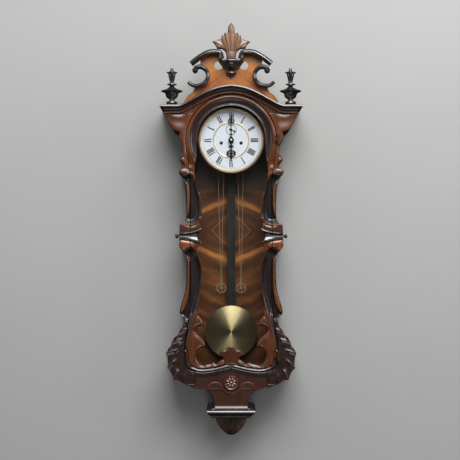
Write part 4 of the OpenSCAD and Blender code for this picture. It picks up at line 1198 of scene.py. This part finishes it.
def cornice_run(name, profile):
    """A moulding of (out, up) points that follows the arch and returns to the wall."""
    arch = CORNICE[::-1] + [(-x, z) for x, z in CORNICE[1:]]
    columns = len(arch) + 4

    def where(row, column):
        out, up = profile[row]
        if 2 <= column < columns - 2:
            x, z = arch[column - 2]
            return x, FRAME_FRONT + out, z + up
        # the returns stand out less than the front does
        end = CORNICE_END + max(out, -20) * 0.62
        y = NEAR_WALL if column in (0, columns - 1) else FRAME_FRONT + out
        return end if column < 2 else -end, y, CORNICE[-1][1] + up

    return shaped_grid(name, len(profile), columns, where)


def cove_profile():
    """The dark hollow, its fillets and the rounded lip on top, closed over the top to the wall."""
    points = [(-60, -19), (6, -19), (7.5, -19), (8.5, -18.2), (8.5, -17)]
    for k in range(11):
        a = math.pi / 2 * k / 10
        points.append((9.5 + 15 * (1 - math.cos(a)), -17 + 11 * math.sin(a)))
    points += [(25.4, -6.2), (28.6, -6.4), (29.6, -6.1), (30, -5.3), (29.9, -4.9), (28.0, -0.9),
               (27.6, -0.3), (26.8, 0), (-150, 0)]
    return points


fillet = cornice_run("cornice_red_fillet", [
    (-60, -26), (4, -26), (5.5, -25.6), (6.6, -24.6), (7, -23.2), (6.6, -21.8), (5.6, -20.6),
    (5.6, -19), (-60, -19)])
finish_piece(fillet, red_fillet, "case", "orange_walnut", "cornice_fillet")
hollow = cornice_run("cornice_dark_hollow", cove_profile())
finish_piece(hollow, brown_black, "case", "ebonised_wood", "cornice_hollow")


# ---------------------------------------------------------------- crest

NECK_PROFILE = [(-8, 0), (-8, 19), (-7.4, 21.6), (-6.6, 22.6), (-0.8, 25.7), (0, 26), (0.8, 25.7),
                (6.6, 22.6), (7.4, 21.6), (8, 19), (8, 0)]
SWAN_NECK = smooth_path([(129, 103), (101, 124), (72, 139), (50, 141), (36, 137), (30, 120)], 6)
SCROLL = smooth_path([(138, 44), (126, 35), (112, 32), (92, 37), (78, 51), (75, 69), (83, 85),
                      (99, 93), (112, 90), (118, 80)], 5)
SLENDER = 0.80
necks = moulding("swan_necks", SWAN_NECK[::-1], NECK_PROFILE, CREST_FRONT)
scrolls = moulding("scrolls", SCROLL, [(a * SLENDER, f) for a, f in NECK_PROFILE], CREST_FRONT,
                   [SLENDER + 0.28 * k / (len(SCROLL) - 1) for k in range(len(SCROLL))])
eye = turned("scroll_eyes", [(0, 25), (4.5, 24.4), (8, 21), (9, 15), (9, 0)],
             (116, CREST_FRONT, 82), "Y", 32)
half = joined([necks, scrolls, eye], "crest_scrollwork")
finish_piece(both_sides(half, "crest_scrollwork"), ebonised, "case", "ebonised_wood",
             "crest_mouldings")

LEAF_RIBS = [((0, 118), (0, 232)), ((2, 122), (10, 160), (18, 200)),
             ((3, 122), (18, 160), (29, 190)), ((4, 124), (30, 160), (56, 175)),
             ((5, 122), (26, 150), (50, 163)), ((5, 120), (20, 142), (42, 153))]
LEAF_VEINS = [((8, 130), (14, 165), (22, 196)), ((12, 128), (26, 158), (31, 178)),
              ((14, 128), (34, 158), (58, 172)), ((10, 122), (24, 146), (47, 157))]


def rib_distance(x, z, ribs):
    return np.min([distance_to(x, z, rib) for rib in ribs], axis=0)


def leaf_dome(x, z):
    """Over 0 on the scaled dome at the foot of the leaf."""
    return 1 - (x / 20) ** 2 - ((z - 124) / 21) ** 2


def leaf_height(x, z, d):
    near, vein = rib_distance(x, z, LEAF_RIBS), rib_distance(x, z, LEAF_VEINS)
    rise = np.clip((z - 113) / 121, 0, 1)
    y = CREST_FRONT + 10 + 9 * np.sin(rise * 2.6) - 3 * smoothstep((x - 26) / 30)
    y += 3.2 * mound(near, 4.0)
    y -= 2.2 * mound(vein, 1.2) * np.clip(d / 3, 0, 1)
    y += 3.5 * rounded(d / 7)
    y += 2.5 * mound(x, 7) * mound(z - 216, 10)
    dome = leaf_dome(x, z)
    scales = 1.1 * np.abs(np.sin(z * 0.5 + np.abs(np.sin(x * 0.42)) * 1.6))
    bulge = CREST_FRONT + 14 + 13 * np.sqrt(np.clip(dome, 0, 1)) + scales
    return np.where(dome > 0, np.maximum(y, bulge), y)


def leaf_stain_and_shade(x, z, d):
    dome = leaf_dome(x, z)
    # darker along the outline, in the veins and on the dome; painted shadow of the undercut where
    # the lower side lobes end
    return strongest(0.85 * smoothstep((3.4 - d) / 2.6),
                     0.6 * mound(rib_distance(x, z, LEAF_VEINS), 1.4),
                     0.55 * (dome > 0) + 0.3 * (np.abs(dome) < 0.12),
                     0.85 * mound(x - 22, 9.0) * mound(z - 142, 12.0))


def leaf_warm(x, z, d):
    # the side lobes are paler, pinker wood; painted highlight: a lighter band across the top of the
    # middle lobe
    return 0.8 * smoothstep((x - 24) / 14) * (z < 186) + 0.7 * mound(z - 214, 8)


leaf = carve("carved_leaf", "crest_leaf", CREST_FRONT + 16, leaf_height, leaf_stain_and_shade, leaf_warm,
             step=1.4, round_over=3.5, cut=CREST_FRONT + 16.5, fill_holes=True,
             lines=LEAF_RIBS + LEAF_VEINS, gaps=(-1.4, 0, 1.4))
finish_piece(leaf, leaf_walnut, "case", "carved_walnut", "crest_leaf")

bowl = half_turned("crest_bowl", [(0, 78), (4, 78), (6, 80)] + smooth_path(
    [(8, 85), (18, 87), (26, 91), (32, 98), (35, 104)], 3)
    + [(37, 106.5), (40, 107.5), (41, 109), (41, 111.4), (40, 113), (0, 113)],
    (0, CREST_FRONT, 0))
drop = half_turned("crest_drop", [(0, 55), (2.6, 55.6), (4.2, 58), (3.8, 59.4), (5.4, 61),
                                  (10, 66), (14, 69.5), (17.6, 71.6), (18.2, 74), (17.4, 76),
                                  (0, 76)], (0, CREST_FRONT, 0))
finish_piece(joined([bowl, drop], "crest_bowl_and_drop"), ebonised, "case", "ebonised_wood",
             "crest_bracket")

FINIAL = [(0, 0), (20.5, 0), (21.5, 1.5), (21, 4), (17.5, 5.5), (16, 7), (18.5, 10), (17, 13.5),
          (11, 16), (8, 18), (7.6, 20.5), (10.5, 23), (16.5, 27), (19.5, 32), (20, 37), (22, 41),
          (28, 44.5), (34, 46.5), (34.5, 49), (31, 50.8), (24, 52), (19, 54.5), (13, 57.5),
          (8.5, 61), (7, 64), (8, 66.5), (13.5, 67.8), (16, 69), (15.5, 70.8), (10, 72),
          (7, 73.5), (6.8, 77), (8.2, 84), (10, 92), (11.4, 99), (11.4, 103), (13.6, 105.6),
          (17.6, 107), (17.4, 109), (11, 110.6), (7, 112), (4.8, 114.5), (4, 117), (5.2, 119.4),
          (4.4, 122), (0, 123)]
finial = turned("finial", FINIAL, (191, 130, -33), "Z", 56, 30)
finish_piece(both_sides(finial, "turned_finials"), ebonised, "case", "ebonised_wood", "finials")


# ---------------------------------------------------------------- hollows at the waist

# Across the hollow, from -1 to 1 between its ridges, and how far it stands out, 0 to 1
COVE_SECTION = [(-1.0, 0.0), (-0.985, 0.7), (-0.95, 0.93), (-0.89, 1.0), (-0.84, 0.92),
                (-0.79, 0.72), (-0.74, 0.55), (-0.68, 0.46), (-0.55, 0.36), (-0.40, 0.25),
                (-0.25, 0.145), (-0.10, 0.07), (0.05, 0.05), (0.25, 0.12), (0.45, 0.25),
                (0.62, 0.45), (0.72, 0.68), (0.78, 0.88), (0.83, 0.98), (0.88, 1.0),
                (0.95, 0.95), (1.04, 0.84), (1.12, 0.70), (1.16, 0.45), (1.18, 0.0)]


def waist_cove(name, inner, outer):
    """A horizontal hollow between two ridges that part towards the glass."""
    stations, ridge_front = 26, 160.0
    arc_x, arc_radius, arc_half = 80, 28, 23.5
    by_glass = inner < 96

    def where(row, column):
        across, lift = COVE_SECTION[row]
        start = inner
        if by_glass:
            # the round edge of the door's opening
            rise = min(abs(across), 1.0) * arc_half
            start = arc_x + math.sqrt(arc_radius ** 2 - rise ** 2)
        x = start + (outer - start) * np.clip((column - 1) / (stations - 1), 0, 1) ** 1.3
        front = DOOR_FRONT + (ridge_front - DOOR_FRONT) * lift
        front -= 2.5 * (1 - rounded((x - start + 0.1) / 4)) * by_glass
        if column in (0, stations + 1):
            front = DOOR_FRONT - 4
        return x, front, WAIST_Z + across * ridge_half(x)

    cove = shaped_grid(name, len(COVE_SECTION), stations + 2, where, 60)
    return both_sides(cove, name)


door_part = waist_cove("door_coves", 95, 130.4)
finish_piece(door_part, ebonised, "door", "ebonised_wood", "door_turnings")
case_part = waist_cove("case_coves", 131.4, 166)
knob = turned("waist_knob", [(0, 0), (4.4, 0), (4, 2), (3, 3), (4, 4.2), (6, 6), (7, 9),
                             (6.4, 11.4), (4.6, 13.4), (2, 14.4), (0, 14.5)],
              (166, 142, WAIST_Z), "X", 40, 30)
case_part = joined([case_part, both_sides(knob, "waist_knobs")], "case_coves_and_knobs")
finish_piece(case_part, ebonised, "case", "ebonised_wood", "waist_turnings")


# ---------------------------------------------------------------- rosette, shelf and bud

def make_rosette():
    petals = 8
    centre = (0, FRAME_FRONT, ROSETTE_Z)
    disc = turned("rosette_disc", [(0, 2.2), (12, 2.4), (17.6, 3), (18.6, 4.6), (20, 5.6),
                                   (21.4, 5.4), (22.6, 4), (23, 2), (23, 0)], centre, "Y", 48)
    parts = [disc]
    deselect()
    bpy.ops.mesh.primitive_uv_sphere_add(segments=20, ring_count=12, radius=1)
    petal = bpy.context.object
    petal.scale = (6.6 * MM, 3.4 * MM, 4.6 * MM)
    petal.location = place(11, FRAME_FRONT + 3.4, ROSETTE_Z)
    settle(petal, "petal")
    to_centre = Matrix.Translation(place(*centre))
    for k in range(petals):
        turn = Matrix.Rotation(k * 2 * math.pi / petals + 0.39, 4, "Y")
        parts.append(copy_of(petal, to_centre @ turn @ to_centre.inverted()))
    bpy.data.objects.remove(petal)
    parts.append(turned("rosette_bead", [(0, 8.4), (2.4, 8), (4.6, 6.4), (5.4, 4), (5.4, 2)],
                        centre, "Y", 28))
    return joined(parts, "petalled_rosette")


finish_piece(make_rosette(), bronze, "case", "bob_brass", "rosette")

# Half width, how far out from the straight front, and height
SHELF = [(57, 0, -1005.0), (63, 0.6, -1006.5), (66, 2.2, -1008), (75, 10.4, -1009),
         (76.8, 12.2, -1010.6), (78.3, 13.5, -1013.8), (79, 14, -1015.2), (78.4, 13.6, -1016.8),
         (76.5, 12.4, -1018), (74, 10, -1018.6), (73.4, 9, -1021), (71, 6, -1024),
         (67, 2, -1026.4), (64.4, 0.2, -1028), (64, 0, -1029), (64, 0, BUD_TOP)]


def make_shelf():
    """The shelf with a rounded nose, stepped in below, open at the wall."""
    straight_front = 150
    corners = ((-1, 0), (-1, 1), (-0.33, 1), (0.33, 1), (1, 1), (1, 0))

    def where(row, column):
        half, out, z = SHELF[min(max(row - 1, 0), len(SHELF) - 1)]
        side, front = corners[column]
        closing = row in (0, len(SHELF) + 1)
        y = straight_front + out if front and not closing else NEAR_WALL
        return side * half, y, z

    return shaped_grid("moulded_shelf", len(SHELF) + 2, len(corners), where)


finish_piece(make_shelf(), ebonised, "case", "ebonised_wood", "base_shelf")

BUD_PROFILE = [(0, 0), (50, 0), (54.5, -0.6)] + smooth_path(
    [(55, -3), (54.4, -9), (53, -14), (50, -23), (46, -32), (41, -41), (35, -49), (27.5, -57),
     (19, -64), (10, -68.6), (0, -71)], 6)
LEAF_ROWS = ((-22, 30), (2, 52), (26, 74))
LEAVES_ROUND = 12


def bud_leaf(turn, down):
    """How far the carved leaves stand out, 0 to 1, at a turn in leaves and a depth in mm."""
    lift = 0.0
    for row, (root, tip) in enumerate(LEAF_ROWS):
        share = abs((turn + 0.5 * (row % 2)) % 1 - 0.5)
        along = (down - root) / (tip - root)
        if not 0 < along < 1:
            continue
        half = 0.5 * math.sin(math.pi * min(along * 0.62 + 0.34, 1)) ** 0.8
        inner = 1 - share / max(half, 1e-3)
        if inner > 0:
            body = min(inner * 3.5, 1) ** 0.5 * (0.35 + 0.65 * along)
            body -= 0.32 * math.exp(-(share / 0.035) ** 2)
            body += 0.10 * math.sin(down * 1.1 + share * 30)
            lift = max(lift, body)
    return lift


def make_bud():
    """The carved bud: a turned body drawn out into rows of overlapping pointed leaves."""
    obj = turned("carved_bud", BUD_PROFILE, (0, BUD_Y, BUD_TOP), "Z", 220, 40)
    # painted shade: the dark tint is strongest where the leaves stand out least, between and under
    # them
    shade = obj.data.attributes.new("stain_and_shade", "FLOAT", "POINT")
    for vert in obj.data.vertices:
        x, y, down = vert.co.x, vert.co.y + BUD_Y * MM, BUD_TOP - vert.co.z / MM
        if math.hypot(x, y) < 1e-5 or down < 0.8:
            continue
        lift = bud_leaf(math.atan2(y, x) / (2 * math.pi) * LEAVES_ROUND, down)
        shade.data[vert.index].value = max(0.0, min(1.0, 1.15 - 1.9 * lift))
        grow = 0.80 + 0.20 * lift
        vert.co.x, vert.co.y = x * grow, y * grow - BUD_Y * MM
    return settle(saw_flat(obj, 0.2), "carved_bud", 50)


finish_piece(make_bud(), dark_walnut, "case", "carved_walnut", "drop_bud")


# ---------------------------------------------------------------- dial and hands

def upright(half, low, high):
    """A plain upright stroke of half a width about x = 0."""
    return [(-half, low), (half, low), (half, high), (-half, high)]


def numeral(text, size):
    """Strokes of a narrow Roman numeral standing on (0, 0), as closed outlines."""
    thick, thin, serif, margin = 3.3, 0.5, 0.6, 0.9
    advance = {"I": 4.6, "V": 8.0, "X": 8.4}
    total = sum(advance[c] for c in text)
    x, bold, fine = -total / 2, [], []
    for c in text:
        w = advance[c]
        left, right, mid = x + margin, x + w - margin, x + w / 2
        if c == "I":
            bold.append([(mid + x1, z1) for x1, z1 in upright(thick / 2, 0, size)])
        elif c == "V":
            bold.append([(left, size), (left + thick, size), (mid + 0.9, 0), (mid - 0.9, 0)])
            fine.append([(right - thin, size), (right, size), (mid + 0.9, 0), (mid + 0.3, 0)])
        else:
            bold.append([(left, size), (left + thick, size), (right, 0), (right - thick, 0)])
            fine.append([(right - thin, size), (right, size), (left + thin, 0), (left, 0)])
        x += w
    for z in (-serif, size):
        fine.append(upright(total / 2, z, z + serif))
    return bold, fine


def sixty_marks(low, high, centre, long_half, short_half):
    """Sixty strokes round a centre, every fifth of them wider."""
    return [turn_about(upright(short_half if k % 5 else long_half, low, high), k * 6, centre)
            for k in range(60)]


def thin_ring(name, radius, half, y, z, steps):
    return turned(name, [(radius - half, 0), (radius - half, 0.1), (radius + half, 0.1),
                         (radius + half, 0)], (0, y, z), "Y", steps)


def make_dial_marks():
    size, foot = 22.6, 63.8
    bold, fine = [], []
    names = ["XII", "I", "II", "III", "IIII", "V", "VI", "VII", "VIII", "IX", "X", "XI"]
    for hour, text in enumerate(names):
        for strokes, target in zip(numeral(text, size), (bold, fine)):
            target += [turn_about([(p, q + foot) for p, q in stroke], hour * 30, (0, DIAL_Z))
                       for stroke in strokes]
    sunk = DIAL_FRONT - 0.5
    ticks = (sixty_marks(89.6, 92.4, (0, DIAL_Z), 0.7, 0.2)
             + sixty_marks(15.0, 17.6, (0, SECONDS_Z), 0.3, 0.1))
    parts = [flat_curve("numeral_strokes", bold, DIAL_FRONT, DIAL_FRONT + 0.12),
             flat_curve("numeral_serifs", fine, DIAL_FRONT, DIAL_FRONT + 0.10),
             flat_curve("minute_marks", ticks, DIAL_FRONT - 0.45, DIAL_FRONT + 0.10)]
    parts = [settle(part, part.name) for part in parts]
    parts += [thin_ring("track_ring", r, 0.12, DIAL_FRONT, DIAL_Z, 128) for r in (89.5, 92.6)]
    parts += [thin_ring("seconds_ring", r, 0.1, sunk, SECONDS_Z, 64) for r in (15.0, 17.7)]
    x, z = WINDING_HOLE
    parts += [turned("winding_hole_rim", [(4.5, 0.1), (4.7, 0.16), (5.4, 0.1)],
                     (side * x, sunk, z), "Y", 40) for side in (-1, 1)]
    return joined(parts, "dial_numerals_and_track")


finish_piece(make_dial_marks(), ink, "case", "enamel")


def make_hand(name, outer, holes, degrees, front, thick, centre=(0, DIAL_Z), bevel=0.25):
    outlines = [mirrored_outline(outer, 3)[:-1]]
    for hole in holes:
        outlines += pierced(hole)
    outlines = [turn_about(o, degrees, centre) for o in outlines]
    return settle(flat_curve(name, outlines, front - thick, front, bevel), name, 40)


def front_and_back(name):
    """How far in front of the wall a CAD node's front and back are."""
    low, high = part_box(name)
    return -low[1] / MM, -high[1] / MM


MINUTE_OUTLINE = [(0, -13), (3.5, -9.5), (8.6, -1.5), (9, 0), (8.6, 1.5), (3.5, 9.5), (1.1, 13),
                  (1.2, 15.5), (5.0, 17.5), (5.4, 19.5), (1.2, 22.5), (1.0, 50), (2.0, 54),
                  (7.5, 56.5), (10.6, 61), (9.2, 66), (4.4, 68.5), (1.6, 70), (1.3, 80), (0, 88)]
MINUTE_HOLES = [[(1.6, 57.8), (6.4, 59.2), (8.2, 62.0), (6.2, 65.0), (2.6, 66.0), (3.4, 62.5)]]
HOUR_OUTLINE = [(0, -9), (7.5, -5), (8.4, 0), (7.0, 5.5), (3.0, 11), (1.6, 14), (3.0, 16.5),
                (7.2, 18), (7.6, 21), (3.2, 22.6), (1.8, 25), (2.2, 30), (6.0, 32.5), (12.5, 36),
                (14.8, 42), (13.0, 48.5), (7.0, 52.5), (3.6, 54), (2.6, 57), (2.2, 61), (0, 66)]
HOUR_HOLES = [[(2.6, 35.0), (7.6, 36.6), (9.6, 40.0), (5.6, 41.4), (2.6, 40.0)],
              [(3.0, 44.0), (7.4, 43.4), (11.4, 44.6), (8.4, 48.4), (3.6, 50.4)]]

minute_front, minute_back = front_and_back("minute_hand")
hour_front, hour_back = front_and_back("hour_hand")
minute = make_hand("minute_blade", MINUTE_OUTLINE, MINUTE_HOLES, 0, minute_front - 1.0, 1.2)
depth = minute_back - minute_front
boss = turned("hand_boss", [(2.3, depth), (5.2, depth + 0.2), (5.2, -1.4), (4.2, -0.9),
                            (3, -0.8), (0, -0.8)], (0, minute_front, DIAL_Z), "Y", 32)
finish_piece(joined([minute, boss], "pierced_minute_hand"), blacked_steel, "minute_work",
             "blacked_steel", "minute_hand")
nut = turned("hand_nut", [(3.0, -1.0), (3.0, -0.4), (2.4, 0), (0, 0.1)],
             (0, minute_front, DIAL_Z), "Y", 28)
finish_piece(nut, bezel_brass, "minute_work", "blacked_steel")
hour = make_hand("pierced_hour_hand", HOUR_OUTLINE, HOUR_HOLES, 180, hour_front, 1.2)
depth = hour_back - hour_front
pipe = turned("hour_pipe", [(4.0, depth), (4.0, -1.2), (3.0, -1.2), (3.0, depth), (4.0, depth)],
              (0, hour_front, DIAL_Z), "Y", 32)
finish_piece(joined([hour, pipe], "pierced_hour_hand"), blacked_steel, "hour_work",
             "blacked_steel", "hour_hand")

SECONDS_OUTLINE = [(0, -8), (1.4, -5), (0.8, -3.4), (3.2, -2.6), (4.0, 0), (3.2, 2.6), (0.8, 3.6),
                   (0.6, 8.6), (2.4, 9.6), (3.0, 11.6), (2.0, 13.4), (0.5, 14.2), (0, 16.4)]
second = make_hand("blued_seconds_hand", SECONDS_OUTLINE, [], 115,
                   front_and_back("seconds_hand")[0], 0.8, (0, SECONDS_Z), 0.15)
finish_piece(second, blacked_steel, "escape_arbor", "blacked_steel", "seconds_hand")


# ---------------------------------------------------------------- gut lines

for side, joint in (("time", "time_pulley_travel"), ("strike", "strike_pulley_travel")):
    source = nodes[side + "_line"]
    line = source.copy()
    line.data = source.data.copy()
    bpy.context.collection.objects.link(line)
    line.parent = None
    settle(line, side + "_gut", 60)
    modifier = line.modifiers.new("rounder", "SUBSURF")
    modifier.levels = modifier.render_levels = 1
    bpy.ops.object.modifier_apply(modifier=modifier.name)
    finish_piece(line, gut, "case", "gut", side + "_line")
    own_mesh(line)


# ---------------------------------------------------------------- room, lights and camera

def room_material(name, colour, roughness):
    """Pale paint that only the camera sees, and only from its front."""
    material, coords = new_material(name)
    tree = coords.tree
    cloud = noise(coords, 3.0, 6.0)
    surface(material, mix(cloud, scaled(colour, 0.97), scaled(colour, 1.03)), roughness,
            more={"Specular IOR Level": 0.2})
    behind = node(tree, "NewGeometry", out="Backfacing")
    shown = node(tree, "LightPath", out="Is Camera Ray") * (1.0 - behind)
    paint = Signal(tree, tree.nodes["Principled BSDF"].outputs[0])
    mixed = node(tree, "MixShader", {0: shown, 1: node(tree, "BsdfTransparent"), 2: paint})
    feed(tree, tree.nodes["Material Output"], {"Surface": mixed})
    return material


deselect()
bpy.ops.mesh.primitive_plane_add(size=12, location=(0, 0.001, 0), rotation=(math.pi / 2, 0, 0))
wall = settle(bpy.context.object, "wall_backdrop")
if wall.data.polygons[0].normal.y > 0:
    wall.data.flip_normals()
wall.data.materials.append(room_material("pale_wall", (0.352, 0.354, 0.349), 0.85))
deselect()
bpy.ops.mesh.primitive_plane_add(size=12, location=(0, 0, -1.62))
floor = settle(bpy.context.object, "floor")
floor.data.materials.append(room_material("pale_floor", (0.55, 0.55, 0.54), 0.7))


def soft_light(name, location, target, width, height, power):
    light = bpy.data.lights.new(name, "AREA")
    light.shape = "RECTANGLE"
    light.size, light.size_y = width, height
    light.energy = power
    obj = new_object(name, light)
    obj.location = location
    obj.rotation_euler = (Vector(target) - obj.location).to_track_quat("-Z", "Y").to_euler()


soft_light("overhead_softbox", (0.5, -2.4, 2.4), (0, -0.1, -0.4), 3.0, 2.0, 215)
soft_light("high_window", (0.3, -3.4, 1.3), (0, 0, -0.4), 1.8, 0.6, 16)
soft_light("window_left", (-3.1, -1.5, 0.3), (0, 0, -0.5), 1.4, 1.6, 14)
soft_light("window_right", (3.1, -1.5, 0.5), (0, 0, -0.5), 1.2, 1.4, 28)
soft_light("low_fill", (0.2, -2.6, -2.5), (0, 0, -0.9), 1.6, 0.6, 9)

# The room that polished faces mirror: brightest overhead and behind the camera
world = bpy.data.worlds.new("grey_room")
world.use_nodes = True
sky = world.node_tree
_, ahead, up = split(node(sky, "TexCoord", out="Generated"))
glow = (map_range(up, (0.05, 0.75), (0.05, 0.45))
        * map_range(ahead, (0.25, -0.25), (0.15, 1.0)))
grey = node(sky, "CombineColor", {0: glow, 1: glow, 2: glow})
feed(sky, sky.nodes["Background"], {"Color": grey})
scene.world = world
scene.view_settings.view_transform = "Standard"
scene.view_settings.look = "None"

# The photograph takes in 1.472 m of a plane that is 3.5 m from the lens
SENSOR, SPAN, DISTANCE = 36, 1.472, 3.5
camera = bpy.data.cameras.new("photograph_view")
camera.sensor_width = SENSOR
camera.lens = SENSOR * DISTANCE / SPAN
camera_obj = new_object("photograph_view", camera)
camera_obj.location = (-0.0038, -3.654, -0.432)
camera_obj.rotation_euler = (math.pi / 2, 0, 0)
scene.camera = camera_obj
